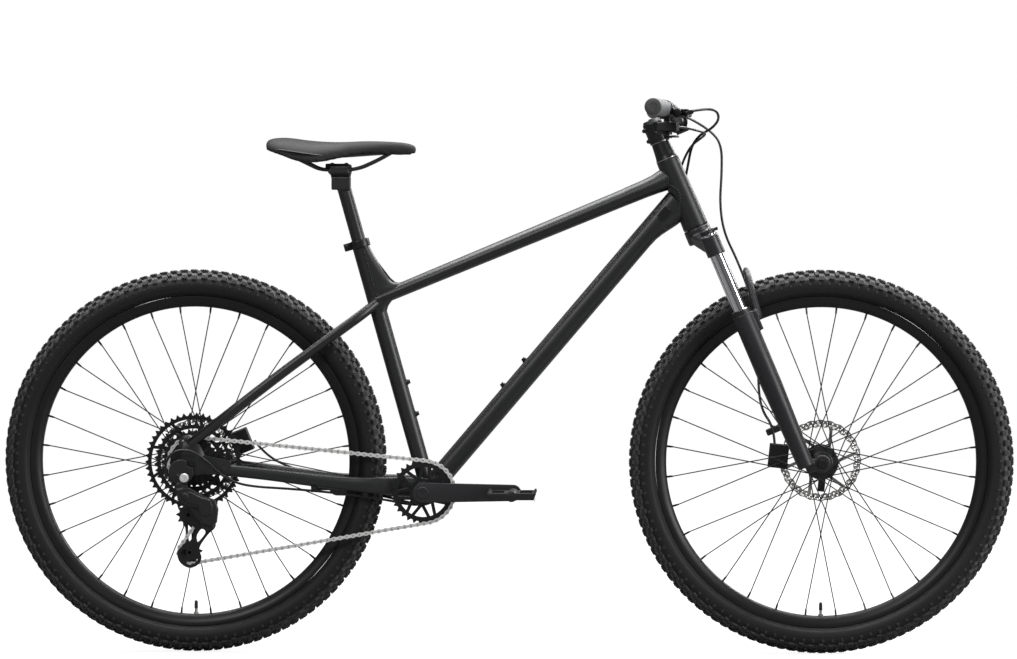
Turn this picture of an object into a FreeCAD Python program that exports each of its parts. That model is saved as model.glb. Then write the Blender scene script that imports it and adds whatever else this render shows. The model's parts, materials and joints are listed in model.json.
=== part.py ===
import FreeCAD, Part
import math
import os
import re
from types import SimpleNamespace

import Sketcher
from FreeCAD import Placement, Rotation, Vector

# A trail hardtail mountain bike with 29 inch wheels. Millimetres, +X forward, +Y to the rider's left,
# +Z up. The origin is on the ground, halfway between the two axles.

doc = FreeCAD.newDocument("mountain_bike")
sheet = doc.addObject("Spreadsheet::Sheet", "Sizes")

DRIVING = {
    # wheels
    "wheelbase": 1216, "tyre_radius": 372, "tyre_width": 61, "tyre_wall": 4, "rim_outer": 321,
    "rim_inner": 300, "rim_width": 35, "spoke_count": 32, "spoke_radius": 1.0,
    "spoke_cross": 67.5, "spoke_lift": 0.7, "nipple_length": 12, "nipple_radius": 2.2, "flange_radius": 29,
    "flange_edge": 33, "flange_width": 3.5, "hub_shell": 16, "axle_radius": 6,
    "bearing_gap": 0.05, "front_hub_width": 110, "rear_hub_width": 148,
    "front_flange_y": 28, "rear_flange_y": 30, "rotor_radius": 80, "rotor_inner": 64, "rotor_thickness": 1.8,
    "rotor_carrier": 23, "rotor_inset": 14, "rotor_arm": 9, "valve_length": 27, "valve_radius": 3,
    # frame
    "bb_forward": 446, "bb_height": 315, "bb_shell_radius": 21, "bb_shell_width": 73,
    "spindle_radius": 12, "head_angle": 67, "head_length": 139, "head_upper": 22, "head_lower": 25,
    "head_bore": 18, "seat_tube_radius": 16, "seat_post_radius": 13.6, "post_gap": 0.05,
    "seat_lean": 15.65, "seat_lead": 8.5, "seat_tube_length": 506, "top_tube_rear": 13,
    "top_tube_front": 17, "top_tube_half_width": 18, "down_tube_half_depth": 20.5,
    "down_tube_half_width": 24, "down_tube_lead": 8, "down_tube_join": 70, "top_tube_join": 104,
    "top_tube_drop": 122, "seatstay_drop": 128, "boss_spacing": 64, "down_boss_start": 250,
    "seat_boss_start": 150, "stay_half_depth": 9.5, "stay_half_width": 7.5, "seatstay_radius": 8.5,
    "dropout_thickness": 6, "gusset_half_width": 5,
    # fork
    "fork_length": 516, "fork_offset": 46, "leg_lead": 16, "leg_spacing": 65, "stanchion_radius": 14,
    "stanchion_gap": 0.05, "lower_radius": 20.5, "lower_foot": 16, "seal_depth": 182,
    "fork_travel": 100, "steerer_radius": 14.3, "crown_top": 3.5,
    # cockpit
    "spacer_height": 38, "stem_height": 40, "stem_length": 45, "bar_clamp_radius": 15.9,
    "bar_radius": 11.1, "bar_width": 780, "bar_rise": 23, "bar_sweep": 8.5, "grip_radius": 16.2,
    "grip_length": 130, "grip_gap": 0.3, "hose_radius": 2.5,
    # drivetrain
    "chain_pitch": 12.7, "chain_line": 48, "ring_teeth": 30, "pulley_teeth": 11, "chosen_cog": 24,
    "cog_spacing": 4.34, "cog_width": 1.8, "tooth_height": 2.4, "roller_radius": 3.3,
    "mesh_gap": 1.0, "plate_height": 4.0, "plate_width": 1.1, "plate_offset": 1.6,
    "crank_length": 175, "crank_eye": 19, "crank_foot": 15.5, "crank_width": 14, "crank_inner": 62,
    "pedal_width": 98, "pedal_length": 98, "pedal_thickness": 18, "pedal_axle": 5, "pedal_gap": 2,
    # saddle
    "post_reach": 103, "saddle_length": 286, "saddle_width": 150, "rail_radius": 3.5, "rail_spacing": 22,
    "rail_lift": 25,
}


def fill_sheet():
    for row, (name, number) in enumerate(DRIVING.items(), 1):
        sheet.set("A%d" % row, name)
        sheet.set("B%d" % row, str(number))
        sheet.setAlias("B%d" % row, name)
    doc.recompute()
    return SimpleNamespace(**DRIVING)


size = fill_sheet()


def cells(expression):
    """The expression with each size name turned into its cell of the sheet."""
    return re.sub(r"[a-z][a-z_]+", lambda word: ("Sizes." + word[0]) if word[0] in DRIVING else word[0],
                  str(expression))


def number(expression):
    found = sheet.evalExpression(cells(expression))
    return float(getattr(found, "Value", found))


def facing(start, direction, roll=None):
    """A placement at start whose +Z looks along direction and whose +X lies near roll."""
    z = Vector(direction).normalize()
    x = Vector(roll) if roll else (Vector(1, 0, 0) if abs(z.x) < 0.9 else Vector(0, 0, 1))
    y = z.cross(x).normalize()
    return Placement(Vector(start), Rotation(y.cross(z), y, z, "ZXY"))


# ---------------------------------------------------------------- makers of bound objects

def bound(kind, name, place, **sizes):
    made = doc.addObject(kind, name)
    for prop, expression in sizes.items():
        made.setExpression(prop, cells(expression))
    made.Placement = place or Placement()
    return made


def rod(name, radius, length, start, direction):
    return bound("Part::Cylinder", name, facing(start, direction), Radius=radius, Height=length)


def cone(name, first, last, length, start, direction):
    return bound("Part::Cone", name, facing(start, direction), Radius1=first, Radius2=last, Height=length)


def block(name, length, width, height, centre, rotation=None):
    turn = rotation or Rotation()
    half = Vector(number(length) / 2, number(width) / 2, number(height) / 2)
    corner = Vector(centre) - turn.multVec(half)
    return bound("Part::Box", name, Placement(corner, turn), Length=length, Width=width, Height=height)


def label(made, name):
    made.Label = name
    return made


def cut(name, base, tools):
    made = doc.addObject("Part::Cut", name)
    made.Base = base
    made.Tool = tools[0] if len(tools) == 1 else fuse(name + "_tools", tools)
    return made


def fuse(name, shapes):
    if len(shapes) == 1:
        return label(shapes[0], name)
    made = doc.addObject("Part::MultiFuse", name)
    made.Shapes = shapes
    return made


def group(name, shapes):
    made = doc.addObject("Part::Compound", name)
    made.Links = shapes
    return made


def fixed(name, shape, place=None):
    """A plain feature, for shapes that follow a path."""
    made = doc.addObject("Part::Feature", name)
    made.Shape = shape
    made.Placement = place or Placement()
    return made


def plane_sketch(body, name, role):
    plane = [feature for feature in body.Origin.OriginFeatures if feature.Role == role][0]
    sketch = body.newObject("Sketcher::SketchObject", name)
    sketch.AttachmentSupport = [(plane, "")]
    sketch.MapMode = "FlatFace"
    return sketch


def outline(sketch, corners):
    """A closed outline whose corners are each bound to the sheet."""
    spots = [Vector(number(x), number(y), 0) for x, y in corners]
    count = len(spots)
    for index in range(count):
        sketch.addGeometry(Part.LineSegment(spots[index], spots[(index + 1) % count]), False)
    for index in range(count):
        sketch.addConstraint(Sketcher.Constraint("Coincident", index, 2, (index + 1) % count, 1))
    for index, corner in enumerate(corners):
        for kind, spot, expression in (("DistanceX", spots[index].x, corner[0]),
                                       ("DistanceY", spots[index].y, corner[1])):
            mark = sketch.addConstraint(Sketcher.Constraint(kind, -1, 1, index, 1, spot))
            sketch.setExpression("Constraints[%d]" % mark, cells(expression))


def circle(sketch, x, y, radius):
    index = sketch.addGeometry(Part.Circle(Vector(number(x), number(y), 0), Vector(0, 0, 1), number(radius)))
    for kind, expression in (("DistanceX", x), ("DistanceY", y)):
        mark = sketch.addConstraint(Sketcher.Constraint(kind, -1, 1, index, 3, number(expression)))
        sketch.setExpression("Constraints[%d]" % mark, cells(expression))
    mark = sketch.addConstraint(Sketcher.Constraint("Radius", index, number(radius)))
    sketch.setExpression("Constraints[%d]" % mark, cells(radius))


def turned(name, corners, place=None, axis="Y"):
    """A body turned from pairs of radius and distance along its own Y or Z axis."""
    body = doc.addObject("PartDesign::Body", name)
    sketch = plane_sketch(body, name + "_profile", "XY_Plane" if axis == "Y" else "XZ_Plane")
    outline(sketch, corners)
    turn = body.newObject("PartDesign::Revolution", name + "_turn")
    turn.Profile = sketch
    turn.ReferenceAxis = (sketch, ["V_Axis"])
    turn.Angle = 360
    body.Placement = place or Placement()
    return body


def toothed(name, teeth, width, bore, place, windows=None, tip="tooth_height"):
    """A sprocket about its own Y axis, its tooth gaps set at +X, with optional lightening windows."""
    pitch_radius = "chain_pitch / (2 * sin(180 / (%s)))" % teeth
    body = doc.addObject("PartDesign::Body", name)
    disc = plane_sketch(body, name + "_disc", "XZ_Plane")
    circle(disc, "0", "0", pitch_radius + " + " + tip)
    circle(disc, "0", "0", bore)
    pad = body.newObject("PartDesign::Pad", name + "_pad")
    pad.Profile = disc
    pad.setExpression("Length", cells(width))
    pad.Midplane = True
    holes = [(name + "_gap", pitch_radius, "0", "roller_radius + mesh_gap", teeth)]
    holes += windows or []
    for hole_name, x, y, radius, count in holes:
        spot = plane_sketch(body, hole_name, "XZ_Plane")
        circle(spot, x, y, radius)
        pocket = body.newObject("PartDesign::Pocket", hole_name + "_pocket")
        pocket.Profile = spot
        pocket.Midplane = True
        pocket.setExpression("Length", cells("2 * (%s)" % width))
        ring = body.newObject("PartDesign::PolarPattern", hole_name + "_ring")
        ring.Originals = [pocket]
        ring.Axis = (spot, ["N_Axis"])
        ring.Angle = 360
        ring.setExpression("Occurrences", cells(count))
        body.Tip = ring
    body.Placement = place
    return body


def bar_link(name, first_radius, last_radius, length, width, place):
    """A flat arm along its own +X, standing on its XZ plane: two round ends and their tangents."""
    tilt = math.asin((number(first_radius) - number(last_radius)) / number(length))
    reach = number(length)
    shapes = []
    for centre, radius in ((0.0, number(first_radius)), (reach, number(last_radius))):
        shapes.append((Vector(centre + radius * math.sin(tilt), 0, radius * math.cos(tilt)),
                       Vector(centre + radius * math.sin(tilt), 0, -radius * math.cos(tilt)),
                       Vector(centre + (radius if centre else -radius), 0, 0)))
    (top_a, low_a, end_a), (top_b, low_b, end_b) = shapes
    wire = Part.Wire([Part.makeLine(top_a, top_b), Part.Arc(top_b, end_b, low_b).toShape(),
                      Part.makeLine(low_b, low_a), Part.Arc(low_a, end_a, top_a).toShape()])
    solid = Part.Face(wire).extrude(Vector(0, number(width), 0))
    return fixed(name, solid, place)


def route_wire(points):
    """Straight runs joined by tangent arcs, each arc as large as its two runs allow."""
    spots = [Vector(point) for point in points]
    edges = []
    radii = []
    last = spots[0]
    for before, here, after in zip(spots, spots[1:], spots[2:]):
        into = (here - before).normalize()
        away = (after - here).normalize()
        turn = into.getAngle(away)
        cutback = 0.45 * min((here - before).Length, (after - here).Length)
        radius = cutback / math.tan(turn / 2)
        start = here - into * cutback
        stop = here + away * cutback
        inward = (away - into).normalize()
        middle = here + inward * (radius / math.cos(turn / 2) - radius)
        edges.append(Part.LineSegment(last, start).toShape())
        edges.append(Part.Arc(start, middle, stop).toShape())
        radii.append(radius)
        last = stop
    edges.append(Part.LineSegment(last, spots[-1]).toShape())
    return Part.Wire(edges), radii


def section_wire(half_depth, half_width, start, direction, up):
    """An oval across direction, half_depth along up and half_width across it."""
    across = Vector(direction).cross(Vector(up)).normalize()
    upright = across.cross(Vector(direction)).normalize()
    if half_depth >= half_width:
        curve = Part.Ellipse(Vector(start) + upright * half_depth, Vector(start) + across * half_width,
                             Vector(start)) if half_depth > half_width else \
            Part.Circle(Vector(start), Vector(direction), half_depth)
    else:
        curve = Part.Ellipse(Vector(start) + across * half_width, Vector(start) + upright * half_depth,
                             Vector(start))
    return Part.Wire([curve.toShape()])


def hose(name, points, radius):
    wire, radii = route_wire(points)
    start = Vector(points[0])
    profile = Part.Wire([Part.Circle(start, Vector(points[1]) - start, radius).toShape()])
    solid = Part.Solid(wire.makePipeShell([profile], True, True))
    expected = math.pi * radius ** 2 * wire.Length
    print("%s: smallest radius %.0f, volume %.3f of section x length"
          % (name, min(radii), solid.Volume / expected))
    return fixed(name, solid)


def swept(name, points, half_depth, half_width, up=(0, 0, 1)):
    wire, _ = route_wire(points)
    start = Vector(points[0])
    profile = section_wire(half_depth, half_width, start, Vector(points[1]) - start, Vector(up))
    return fixed(name, Part.Solid(wire.makePipeShell([profile], True, False)))


def oval_tube(name, start, end, depths, widths):
    """A tapering oval tube between two points: a loft of two bound ovals."""
    direction = Vector(end) - Vector(start)
    side = Vector(0, 1, 0)
    sections = []
    for index, spot in enumerate((start, end)):
        z = Vector(direction).normalize()
        wide = number(widths[index]) >= number(depths[index])
        major = side if wide else z.cross(side)
        place = Placement(Vector(spot), Rotation(major, z.cross(major), z, "ZXY"))
        oval = doc.addObject("Part::Ellipse", "%s_oval_%d" % (name, index))
        oval.setExpression("MajorRadius", cells(widths[index] if wide else depths[index]))
        oval.setExpression("MinorRadius", cells(depths[index] if wide else widths[index]))
        oval.Placement = place
        sections.append(oval)
    loft = doc.addObject("Part::Loft", name)
    loft.Sections = sections
    loft.Solid = True
    loft.Ruled = True
    return loft


nodes = {}


def node(name, made):
    made.Label = name
    nodes[name] = made
    return made


# ---------------------------------------------------------------- points that the pieces share

UP = Vector(0, 0, 1)
LEFT = Vector(0, 1, 0)
REAR_AXLE = Vector(-size.wheelbase / 2, 0, size.tyre_radius)
FRONT_AXLE = Vector(size.wheelbase / 2, 0, size.tyre_radius)
BOTTOM_BRACKET = REAR_AXLE + Vector(size.bb_forward, 0, size.bb_height - size.tyre_radius)
STEER_TURN = Rotation(LEFT, size.head_angle - 90)
STEER_UP = STEER_TURN.multVec(UP)
STEER_AHEAD = STEER_TURN.multVec(Vector(1, 0, 0))
HEAD_LOW = FRONT_AXLE + STEER_UP * size.fork_length - STEER_AHEAD * size.fork_offset
HEAD_HIGH = HEAD_LOW + STEER_UP * size.head_length
STEER = Placement(HEAD_LOW, STEER_TURN)
SEAT_UP = Rotation(LEFT, -size.seat_lean).multVec(UP)
SEAT_LOW = BOTTOM_BRACKET + Vector(size.seat_lead, 0, 0)
SEAT_HIGH = SEAT_LOW + SEAT_UP * size.seat_tube_length
DOWN_START = BOTTOM_BRACKET + Vector(size.down_tube_lead, 0, 0)
DOWN_END = HEAD_LOW + STEER_UP * size.down_tube_join
DOWN_AXIS = (DOWN_END - DOWN_START).normalize()
DOWN_UP = Rotation(LEFT, -90).multVec(DOWN_AXIS)
TOP_START = SEAT_HIGH - SEAT_UP * size.top_tube_drop
TOP_END = HEAD_LOW + STEER_UP * size.top_tube_join


def steered(ahead, side, up):
    """A point given along the steering axis's own directions, from the foot of the head tube."""
    return STEER.multVec(Vector(ahead, side, up))


# ---------------------------------------------------------------- wheels

def wheel(end, centre, hub_width, flange_left, flange_right, rotor_side):
    place = Placement(centre, Rotation())
    half = "tyre_width / 2"
    tyre = turned(end + "_tyre_outer", [
        ("rim_outer", "-rim_width / 2"), ("rim_outer + 6", "-rim_width / 2 - 4"),
        ("rim_outer + 14", "-%s + 3" % half), ("rim_outer + 27", "-%s" % half),
        ("tyre_radius - 14", "-%s + 1.5" % half), ("tyre_radius - 6", "-%s + 8" % half),
        ("tyre_radius", "-10"), ("tyre_radius", "10"), ("tyre_radius - 6", "%s - 8" % half),
        ("tyre_radius - 14", "%s - 1.5" % half), ("rim_outer + 27", half),
        ("rim_outer + 14", "%s - 3" % half), ("rim_outer + 6", "rim_width / 2 + 4"),
        ("rim_outer", "rim_width / 2"), ("rim_outer", "rim_width / 2 - 4"),
        ("rim_outer + 10", "rim_width / 2 - 2"), ("rim_outer + 27", "%s - tyre_wall" % half),
        ("tyre_radius - 14", "%s - tyre_wall - 3" % half), ("tyre_radius - 7", "8"),
        ("tyre_radius - 7", "-8"), ("tyre_radius - 14", "-%s + tyre_wall + 3" % half),
        ("rim_outer + 27", "-%s + tyre_wall" % half), ("rim_outer + 10", "-rim_width / 2 + 2"),
        ("rim_outer", "-rim_width / 2 + 4")], place)
    node(end + "_tyre", tyre)
    rim = turned(end + "_rim_ring", [
        ("rim_outer", "-rim_width / 2"), ("rim_outer - 8", "-rim_width / 2 + 1"), ("rim_inner", "-9"),
        ("rim_inner", "9"), ("rim_outer - 8", "rim_width / 2 - 1"), ("rim_outer", "rim_width / 2"),
        ("rim_outer", "rim_width / 2 - 3"), ("rim_outer - 6", "rim_width / 2 - 5"),
        ("rim_outer - 6", "-rim_width / 2 + 5"), ("rim_outer", "-rim_width / 2 + 3")], place)
    valve = rod(end + "_valve", "valve_radius", "valve_length",
                centre - UP * (size.rim_inner - size.valve_length), -UP)
    node(end + "_rim", group(end + "_rim_all", [rim, valve]))
    spokes = []
    nipples = []
    half_count = size.spoke_count // 2
    for side, flange in ((1, flange_left), (-1, flange_right)):
        for index in range(half_count):
            rim_angle = 2 * math.pi * (2 * index + (0.5 if side > 0 else 1.5)) / size.spoke_count
            leading = 1 if index % 2 else -1
            hub_angle = rim_angle + leading * math.radians(size.spoke_cross)
            face = side * (flange + leading * (size.flange_width / 2 + size.spoke_radius)
                           + (size.spoke_lift if leading > 0 else 0))
            foot = Vector(size.flange_radius * math.sin(hub_angle), face,
                          size.flange_radius * math.cos(hub_angle))
            reach = size.rim_inner - size.nipple_length
            tip = Vector(reach * math.sin(rim_angle), side * 5, reach * math.cos(rim_angle))
            spokes.append(Part.makeCylinder(size.spoke_radius, (tip - foot).Length, centre + foot, tip - foot))
            outward = Vector(math.sin(rim_angle), 0, math.cos(rim_angle))
            nipples.append(Part.makeCylinder(size.nipple_radius, size.nipple_length, centre + tip,
                                             outward))
    node(end + "_spokes", fixed(end + "_spoke_set", Part.Compound(spokes + nipples)))
    inner = "axle_radius + bearing_gap"
    half_hub = "%s / 2" % hub_width
    left = flange_left
    right = flange_right
    hub = turned(end + "_hub_shell", [
        (inner, "-(%s) + 1" % half_hub), ("axle_radius + 5", "-(%s) + 1" % half_hub),
        ("axle_radius + 5", "-%g - 8" % right), ("hub_shell + 6", "-%g - 5" % right),
        ("hub_shell + 6", "-%g - flange_width / 2" % right), ("flange_edge", "-%g - flange_width / 2" % right),
        ("flange_edge", "-%g + flange_width / 2" % right), ("hub_shell + 3", "-%g + flange_width / 2" % right),
        ("hub_shell", "-%g + 7" % right), ("hub_shell", "%g - 7" % left),
        ("hub_shell + 3", "%g - flange_width / 2" % left), ("flange_edge", "%g - flange_width / 2" % left),
        ("flange_edge", "%g + flange_width / 2" % left), ("hub_shell + 4", "%g + flange_width / 2" % left),
        ("hub_shell + 4", "%s - rotor_inset - rotor_thickness" % half_hub),
        ("axle_radius + 5", "%s - rotor_inset - rotor_thickness" % half_hub),
        ("axle_radius + 5", "%s - 1" % half_hub), (inner, "%s - 1" % half_hub)], place)
    node(end + "_hub", hub)
    node(end + "_rotor", rotor(end, centre + LEFT * rotor_side))


def rotor(end, centre):
    """A ring on six swept arms, fixed to the hub by its carrier."""
    start = centre - LEFT * (size.rotor_thickness / 2)
    pieces = [cut(end + "_rotor_band", rod(end + "_rotor_disc", "rotor_radius", "rotor_thickness", start, LEFT),
                  [rod(end + "_rotor_hole", "rotor_inner", "rotor_thickness", start, LEFT)]),
              cut(end + "_rotor_centre", rod(end + "_rotor_hub", "rotor_carrier", "rotor_thickness", start, LEFT),
                  [rod(end + "_rotor_bore", "axle_radius + 6", "rotor_thickness", start, LEFT)])]
    reach = (size.rotor_inner + size.rotor_carrier) / 2
    for index in range(6):
        angle = 60 * index
        turn = Rotation(LEFT, angle) * Rotation(LEFT, 0)
        middle = centre + turn.multVec(Vector(reach, 0, 0))
        arm = block("%s_rotor_arm_%d" % (end, index), "rotor_inner - rotor_carrier + 6", "rotor_thickness",
                    "rotor_arm", middle, turn * Rotation(LEFT, 22))
        pieces.append(arm)
    return fuse(end + "_rotor_all", pieces)


ROTOR_FRONT = size.front_hub_width / 2 - size.rotor_inset - size.rotor_thickness / 2
ROTOR_REAR = size.rear_hub_width / 2 - size.rotor_inset - size.rotor_thickness / 2
wheel("front", FRONT_AXLE, "front_hub_width", size.front_flange_y - 4, size.front_flange_y, ROTOR_FRONT)
wheel("rear", REAR_AXLE, "rear_hub_width", size.rear_flange_y + 4, size.rear_flange_y - 14, ROTOR_REAR)

# ---------------------------------------------------------------- frame

def frame_tubes():
    axis = STEER_UP
    head_outer = cone("head_outer", "head_lower", "head_upper", "head_length", HEAD_LOW, axis)
    head_bore = rod("head_bore_space", "head_bore", "head_length", HEAD_LOW, axis)
    node("head_tube", cut("head_tube_wall", head_outer, [head_bore]))

    def head_clear(name):
        return cone(name, "head_lower", "head_upper", "head_length", HEAD_LOW, axis)

    def shell_clear(name):
        start = BOTTOM_BRACKET - LEFT * (size.bb_shell_width / 2)
        return rod(name, "bb_shell_radius", "bb_shell_width", start, LEFT)

    def seat_clear(name):
        return rod(name, "seat_tube_radius", "seat_tube_length", SEAT_LOW, SEAT_UP)

    shell = cut("shell_wall", shell_clear("shell_outer"), [
        rod("shell_bore", "bb_shell_radius - 3", "bb_shell_width", BOTTOM_BRACKET
            - LEFT * (size.bb_shell_width / 2), LEFT)])
    node("bottom_bracket_shell", shell)

    seat_outer = seat_clear("seat_outer")
    post_room = rod("post_room", "seat_post_radius + post_gap", "seat_tube_length - 30",
                    SEAT_LOW + SEAT_UP * 30, SEAT_UP)
    seat_wall = cut("seat_tube_wall", seat_outer, [post_room, shell_clear("shell_room_seat")])
    node("top_tube", cut("top_tube_coped", top_tube_copy("top_tube_form"),
                         [head_clear("head_room_top"), seat_clear("seat_room_top")]))
    brace = cut("gusset_coped", gusset_plate(), [seat_clear("seat_room_gusset"), top_tube_copy("top_room_gusset")])
    node("seat_tube", group("seat_tube_and_gusset", [seat_wall, brace]))
    node("down_tube", cut("down_tube_coped", fuse("down_tube_with_throat", [
        down_tube_copy("down_tube_form"), throat_plate()]), [
        head_clear("head_room_down"), shell_clear("shell_room_down"), seat_clear("seat_room_down"),
        top_tube_copy("top_room_down")]))


def top_tube_copy(name):
    return oval_tube(name, TOP_START, TOP_END, ("top_tube_rear", "top_tube_front"),
                     ("top_tube_half_width", "top_tube_half_width"))


def down_tube_copy(name):
    depth = "down_tube_half_depth"
    width = "down_tube_half_width"
    return oval_tube(name, DOWN_START, DOWN_END, (depth, depth), (width, width))


def upright_plate(name, corner, half_width):
    """A plate of one outline, standing in the middle plane of the frame."""
    lines = [Part.makeLine(a, b) for a, b in zip(corner, corner[1:] + corner[:1])]
    plate = Part.Face(Part.Wire(lines))
    plate.translate(LEFT * -half_width)
    return fixed(name, plate.extrude(LEFT * (2 * half_width)))


def throat_plate():
    """The down tube flares below its joint to meet the foot of the head tube."""
    corner = [HEAD_LOW + Vector(*spot) for spot in ((-76, 0, -25), (-26, 0, 5), (-20, 0, 40), (-64, 0, 8))]
    return upright_plate("down_tube_throat", corner, size.down_tube_half_width - 8)


def gusset_plate():
    """The brace in the corner above the top tube, against the seat tube."""
    low = SEAT_HIGH - SEAT_UP * 100
    high = SEAT_HIGH - SEAT_UP * 22
    corner = [high, high + Vector(17, 0, -2), low + Vector(35, 0, 22), low + Vector(47, 0, 12),
              low + Vector(62, 0, 15), low + Vector(62, 0, -8), low]
    return upright_plate("gusset_form", corner, size.gusset_half_width)


frame_tubes()

DROPOUT_INNER = size.rear_hub_width / 2
DROPOUT_OUTER = DROPOUT_INNER + size.dropout_thickness
SEATSTAY_TOP = SEAT_HIGH - SEAT_UP * size.seatstay_drop
STAY_FOOT = REAR_AXLE + Vector(58, 0, -13)
SEATSTAY_FOOT = REAR_AXLE + Vector(-4, 0, 36)


def stays():
    wheel_mid = DROPOUT_INNER + 3
    chainstays = []
    seatstays = []
    dropouts = []
    for side in (1, -1):
        name = "left" if side > 0 else "right"
        route = [BOTTOM_BRACKET + Vector(-4, side * 26, 8), BOTTOM_BRACKET + Vector(-58, side * 31, 11),
                 BOTTOM_BRACKET + Vector(-112, side * 44, 13), BOTTOM_BRACKET + Vector(-185, side * 48, 19),
                 BOTTOM_BRACKET + Vector(-300, side * 62, 34), STAY_FOOT + LEFT * (side * (wheel_mid - 3))]
        form = swept("chainstay_form_" + name, route, size.stay_half_depth + 1.5, size.stay_half_width)
        shell = rod("shell_room_stay_" + name, "bb_shell_radius", "bb_shell_width",
                    BOTTOM_BRACKET - LEFT * (size.bb_shell_width / 2), LEFT)
        chainstays.append(cut("chainstay_" + name, form, [shell]))
        upper = [SEATSTAY_TOP + Vector(0, side * 13, 0), SEATSTAY_TOP + Vector(-30, side * 38, -24),
                 SEATSTAY_TOP + Vector(-80, side * 50, -60), SEATSTAY_TOP + Vector(-200, side * 60, -148),
                 SEATSTAY_FOOT + LEFT * (side * (wheel_mid - 1))]
        form = swept("seatstay_form_" + name, upper, size.seatstay_radius + 1, size.seatstay_radius - 0.5)
        room = rod("seat_room_stay_" + name, "seat_tube_radius", "seat_tube_length", SEAT_LOW, SEAT_UP)
        seatstays.append((form, room, name))
        dropouts.append(dropout(side, name, chainstays[-1], form))
    # a bridge ties the two seatstays together above the tyre
    bridge_at = SEATSTAY_TOP + Vector(-50, 0, -38)
    bridge = rod("seatstay_bridge", "5", "84", bridge_at - LEFT * 42, LEFT)
    trimmed = [cut("seatstay_" + name, form, [room, top_tube_copy("top_room_stay_" + name)])
               for form, room, name in seatstays]
    node("chainstays", group("chainstay_pair", chainstays))
    node("seatstays", fuse("seatstay_pair", trimmed + [bridge]))
    node("dropouts", group("dropout_pair", dropouts))


def dropout(side, name, chainstay, seatstay):
    """A flat plate round the axle, its arms reaching the two stays, with a rack eye at the top."""
    inner = side * DROPOUT_INNER
    start = LEFT * (inner if side > 0 else inner - size.dropout_thickness)
    corner = [Vector(-20, 0, -6), Vector(-18, 0, 20), Vector(-26, 0, 40), Vector(-20, 0, 52),
              Vector(-8, 0, 54), Vector(16, 0, 34), Vector(26, 0, 14), Vector(76, 0, 4),
              Vector(74, 0, -22), Vector(22, 0, -22), Vector(0, 0, -24), Vector(-14, 0, -18)]
    if side < 0:
        corner[0] = Vector(-30, 0, -12)
        corner[-1] = Vector(-26, 0, -22)
    spots = [REAR_AXLE + spot + start for spot in corner]
    wire = Part.Wire([Part.makeLine(a, b) for a, b in zip(spots, spots[1:] + spots[:1])])
    solid = Part.Face(wire).extrude(LEFT * size.dropout_thickness)
    edges = [edge for edge in solid.Edges if abs(edge.tangentAt(edge.FirstParameter).y) > 0.99]
    solid = solid.makeFillet(4, edges)
    plate = fixed("dropout_plate_" + name, solid)
    through = LEFT * (inner - side * 2)
    axle = rod("dropout_bore_" + name, "axle_radius + bearing_gap", "dropout_thickness + 4",
               REAR_AXLE + through, LEFT * side)
    eye = rod("rack_eye_" + name, "2.5", "dropout_thickness + 4", REAR_AXLE + Vector(-17, 0, 43) + through,
              LEFT * side)
    return cut("dropout_" + name, plate, [axle, eye, chainstay_copy(name), seatstay_copy(name)])


def chainstay_copy(name):
    return label(fixed("chainstay_room_" + name, doc.getObject("chainstay_form_" + name).Shape), "")


def seatstay_copy(name):
    return label(fixed("seatstay_room_" + name, doc.getObject("seatstay_form_" + name).Shape), "")


stays()


def headset_and_cups():
    """Cartridge bearings in cups at both ends of the head tube, and the bottom bracket's outer cups."""
    bore = "steerer_radius + bearing_gap"
    lower = turned("headset_lower", [
        (bore, "0"), (bore, "12"), ("head_bore", "12"), ("head_bore", "0"), ("head_lower", "0"),
        ("head_lower - 1", "-crown_top + 0.4"), (bore, "-crown_top + 0.4")], STEER, "Z")
    top = "head_length"
    upper = turned("headset_upper", [
        (bore, top + " + 3"), (bore, top + " - 12"), ("head_bore", top + " - 12"), ("head_bore", top),
        ("head_upper", top), ("head_upper - 0.5", top + " + 3")], STEER, "Z")
    node("headset_cups", group("headset_pair", [lower, upper]))
    cups = []
    for side in (1, -1):
        face = "bb_shell_width / 2"
        corners = [("spindle_radius + bearing_gap", face + " + 9"), ("spindle_radius + bearing_gap", face + " - 16"),
                   ("bb_shell_radius - 3", face + " - 16"), ("bb_shell_radius - 3", face),
                   ("bb_shell_radius + 1", face), ("bb_shell_radius + 1", face + " + 6"),
                   ("bb_shell_radius - 2", face + " + 9")]
        turn = Rotation() if side > 0 else Rotation(UP, 180)
        cups.append(turned("bb_cup_%s" % ("left" if side > 0 else "right"), corners,
                           Placement(BOTTOM_BRACKET, turn)))
    node("bottom_bracket_cups", group("bb_cup_pair", cups))


headset_and_cups()


def seat_collar():
    base = SEAT_HIGH - SEAT_UP * 16
    ring = cut("collar_ring", rod("collar_outer", "seat_tube_radius + 4", "15", base, SEAT_UP), [
        rod("collar_room", "seat_tube_radius", "15", base, SEAT_UP)])
    back = Rotation(LEFT, -size.seat_lean).multVec(Vector(-1, 0, 0))
    ears = block("collar_ears", "16", "16", "15", base + SEAT_UP * 7.5 + back * (size.seat_tube_radius + 7),
                 Rotation(LEFT, -size.seat_lean))
    slot = block("collar_slot", "24", "2", "20", base + SEAT_UP * 7.5 + back * (size.seat_tube_radius + 10),
                 Rotation(LEFT, -size.seat_lean))
    eye_at = base + SEAT_UP * 7.5 + back * (size.seat_tube_radius + 9.5)
    bolt_room = rod("collar_bolt_room", "2.5", "20", eye_at - LEFT * 10, LEFT)
    bolt = fuse("collar_bolt", [rod("collar_bolt_shank", "2.5", "20", eye_at - LEFT * 10, LEFT),
                                rod("collar_bolt_head", "4.2", "4", eye_at - LEFT * 12, LEFT)])
    room = rod("collar_room_ears", "seat_tube_radius", "15", base, SEAT_UP)
    shell = cut("collar_shell", fuse("collar_body", [ring, ears]), [slot, bolt_room, room])
    node("seat_collar", group("collar_all", [shell, bolt]))


seat_collar()


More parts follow.
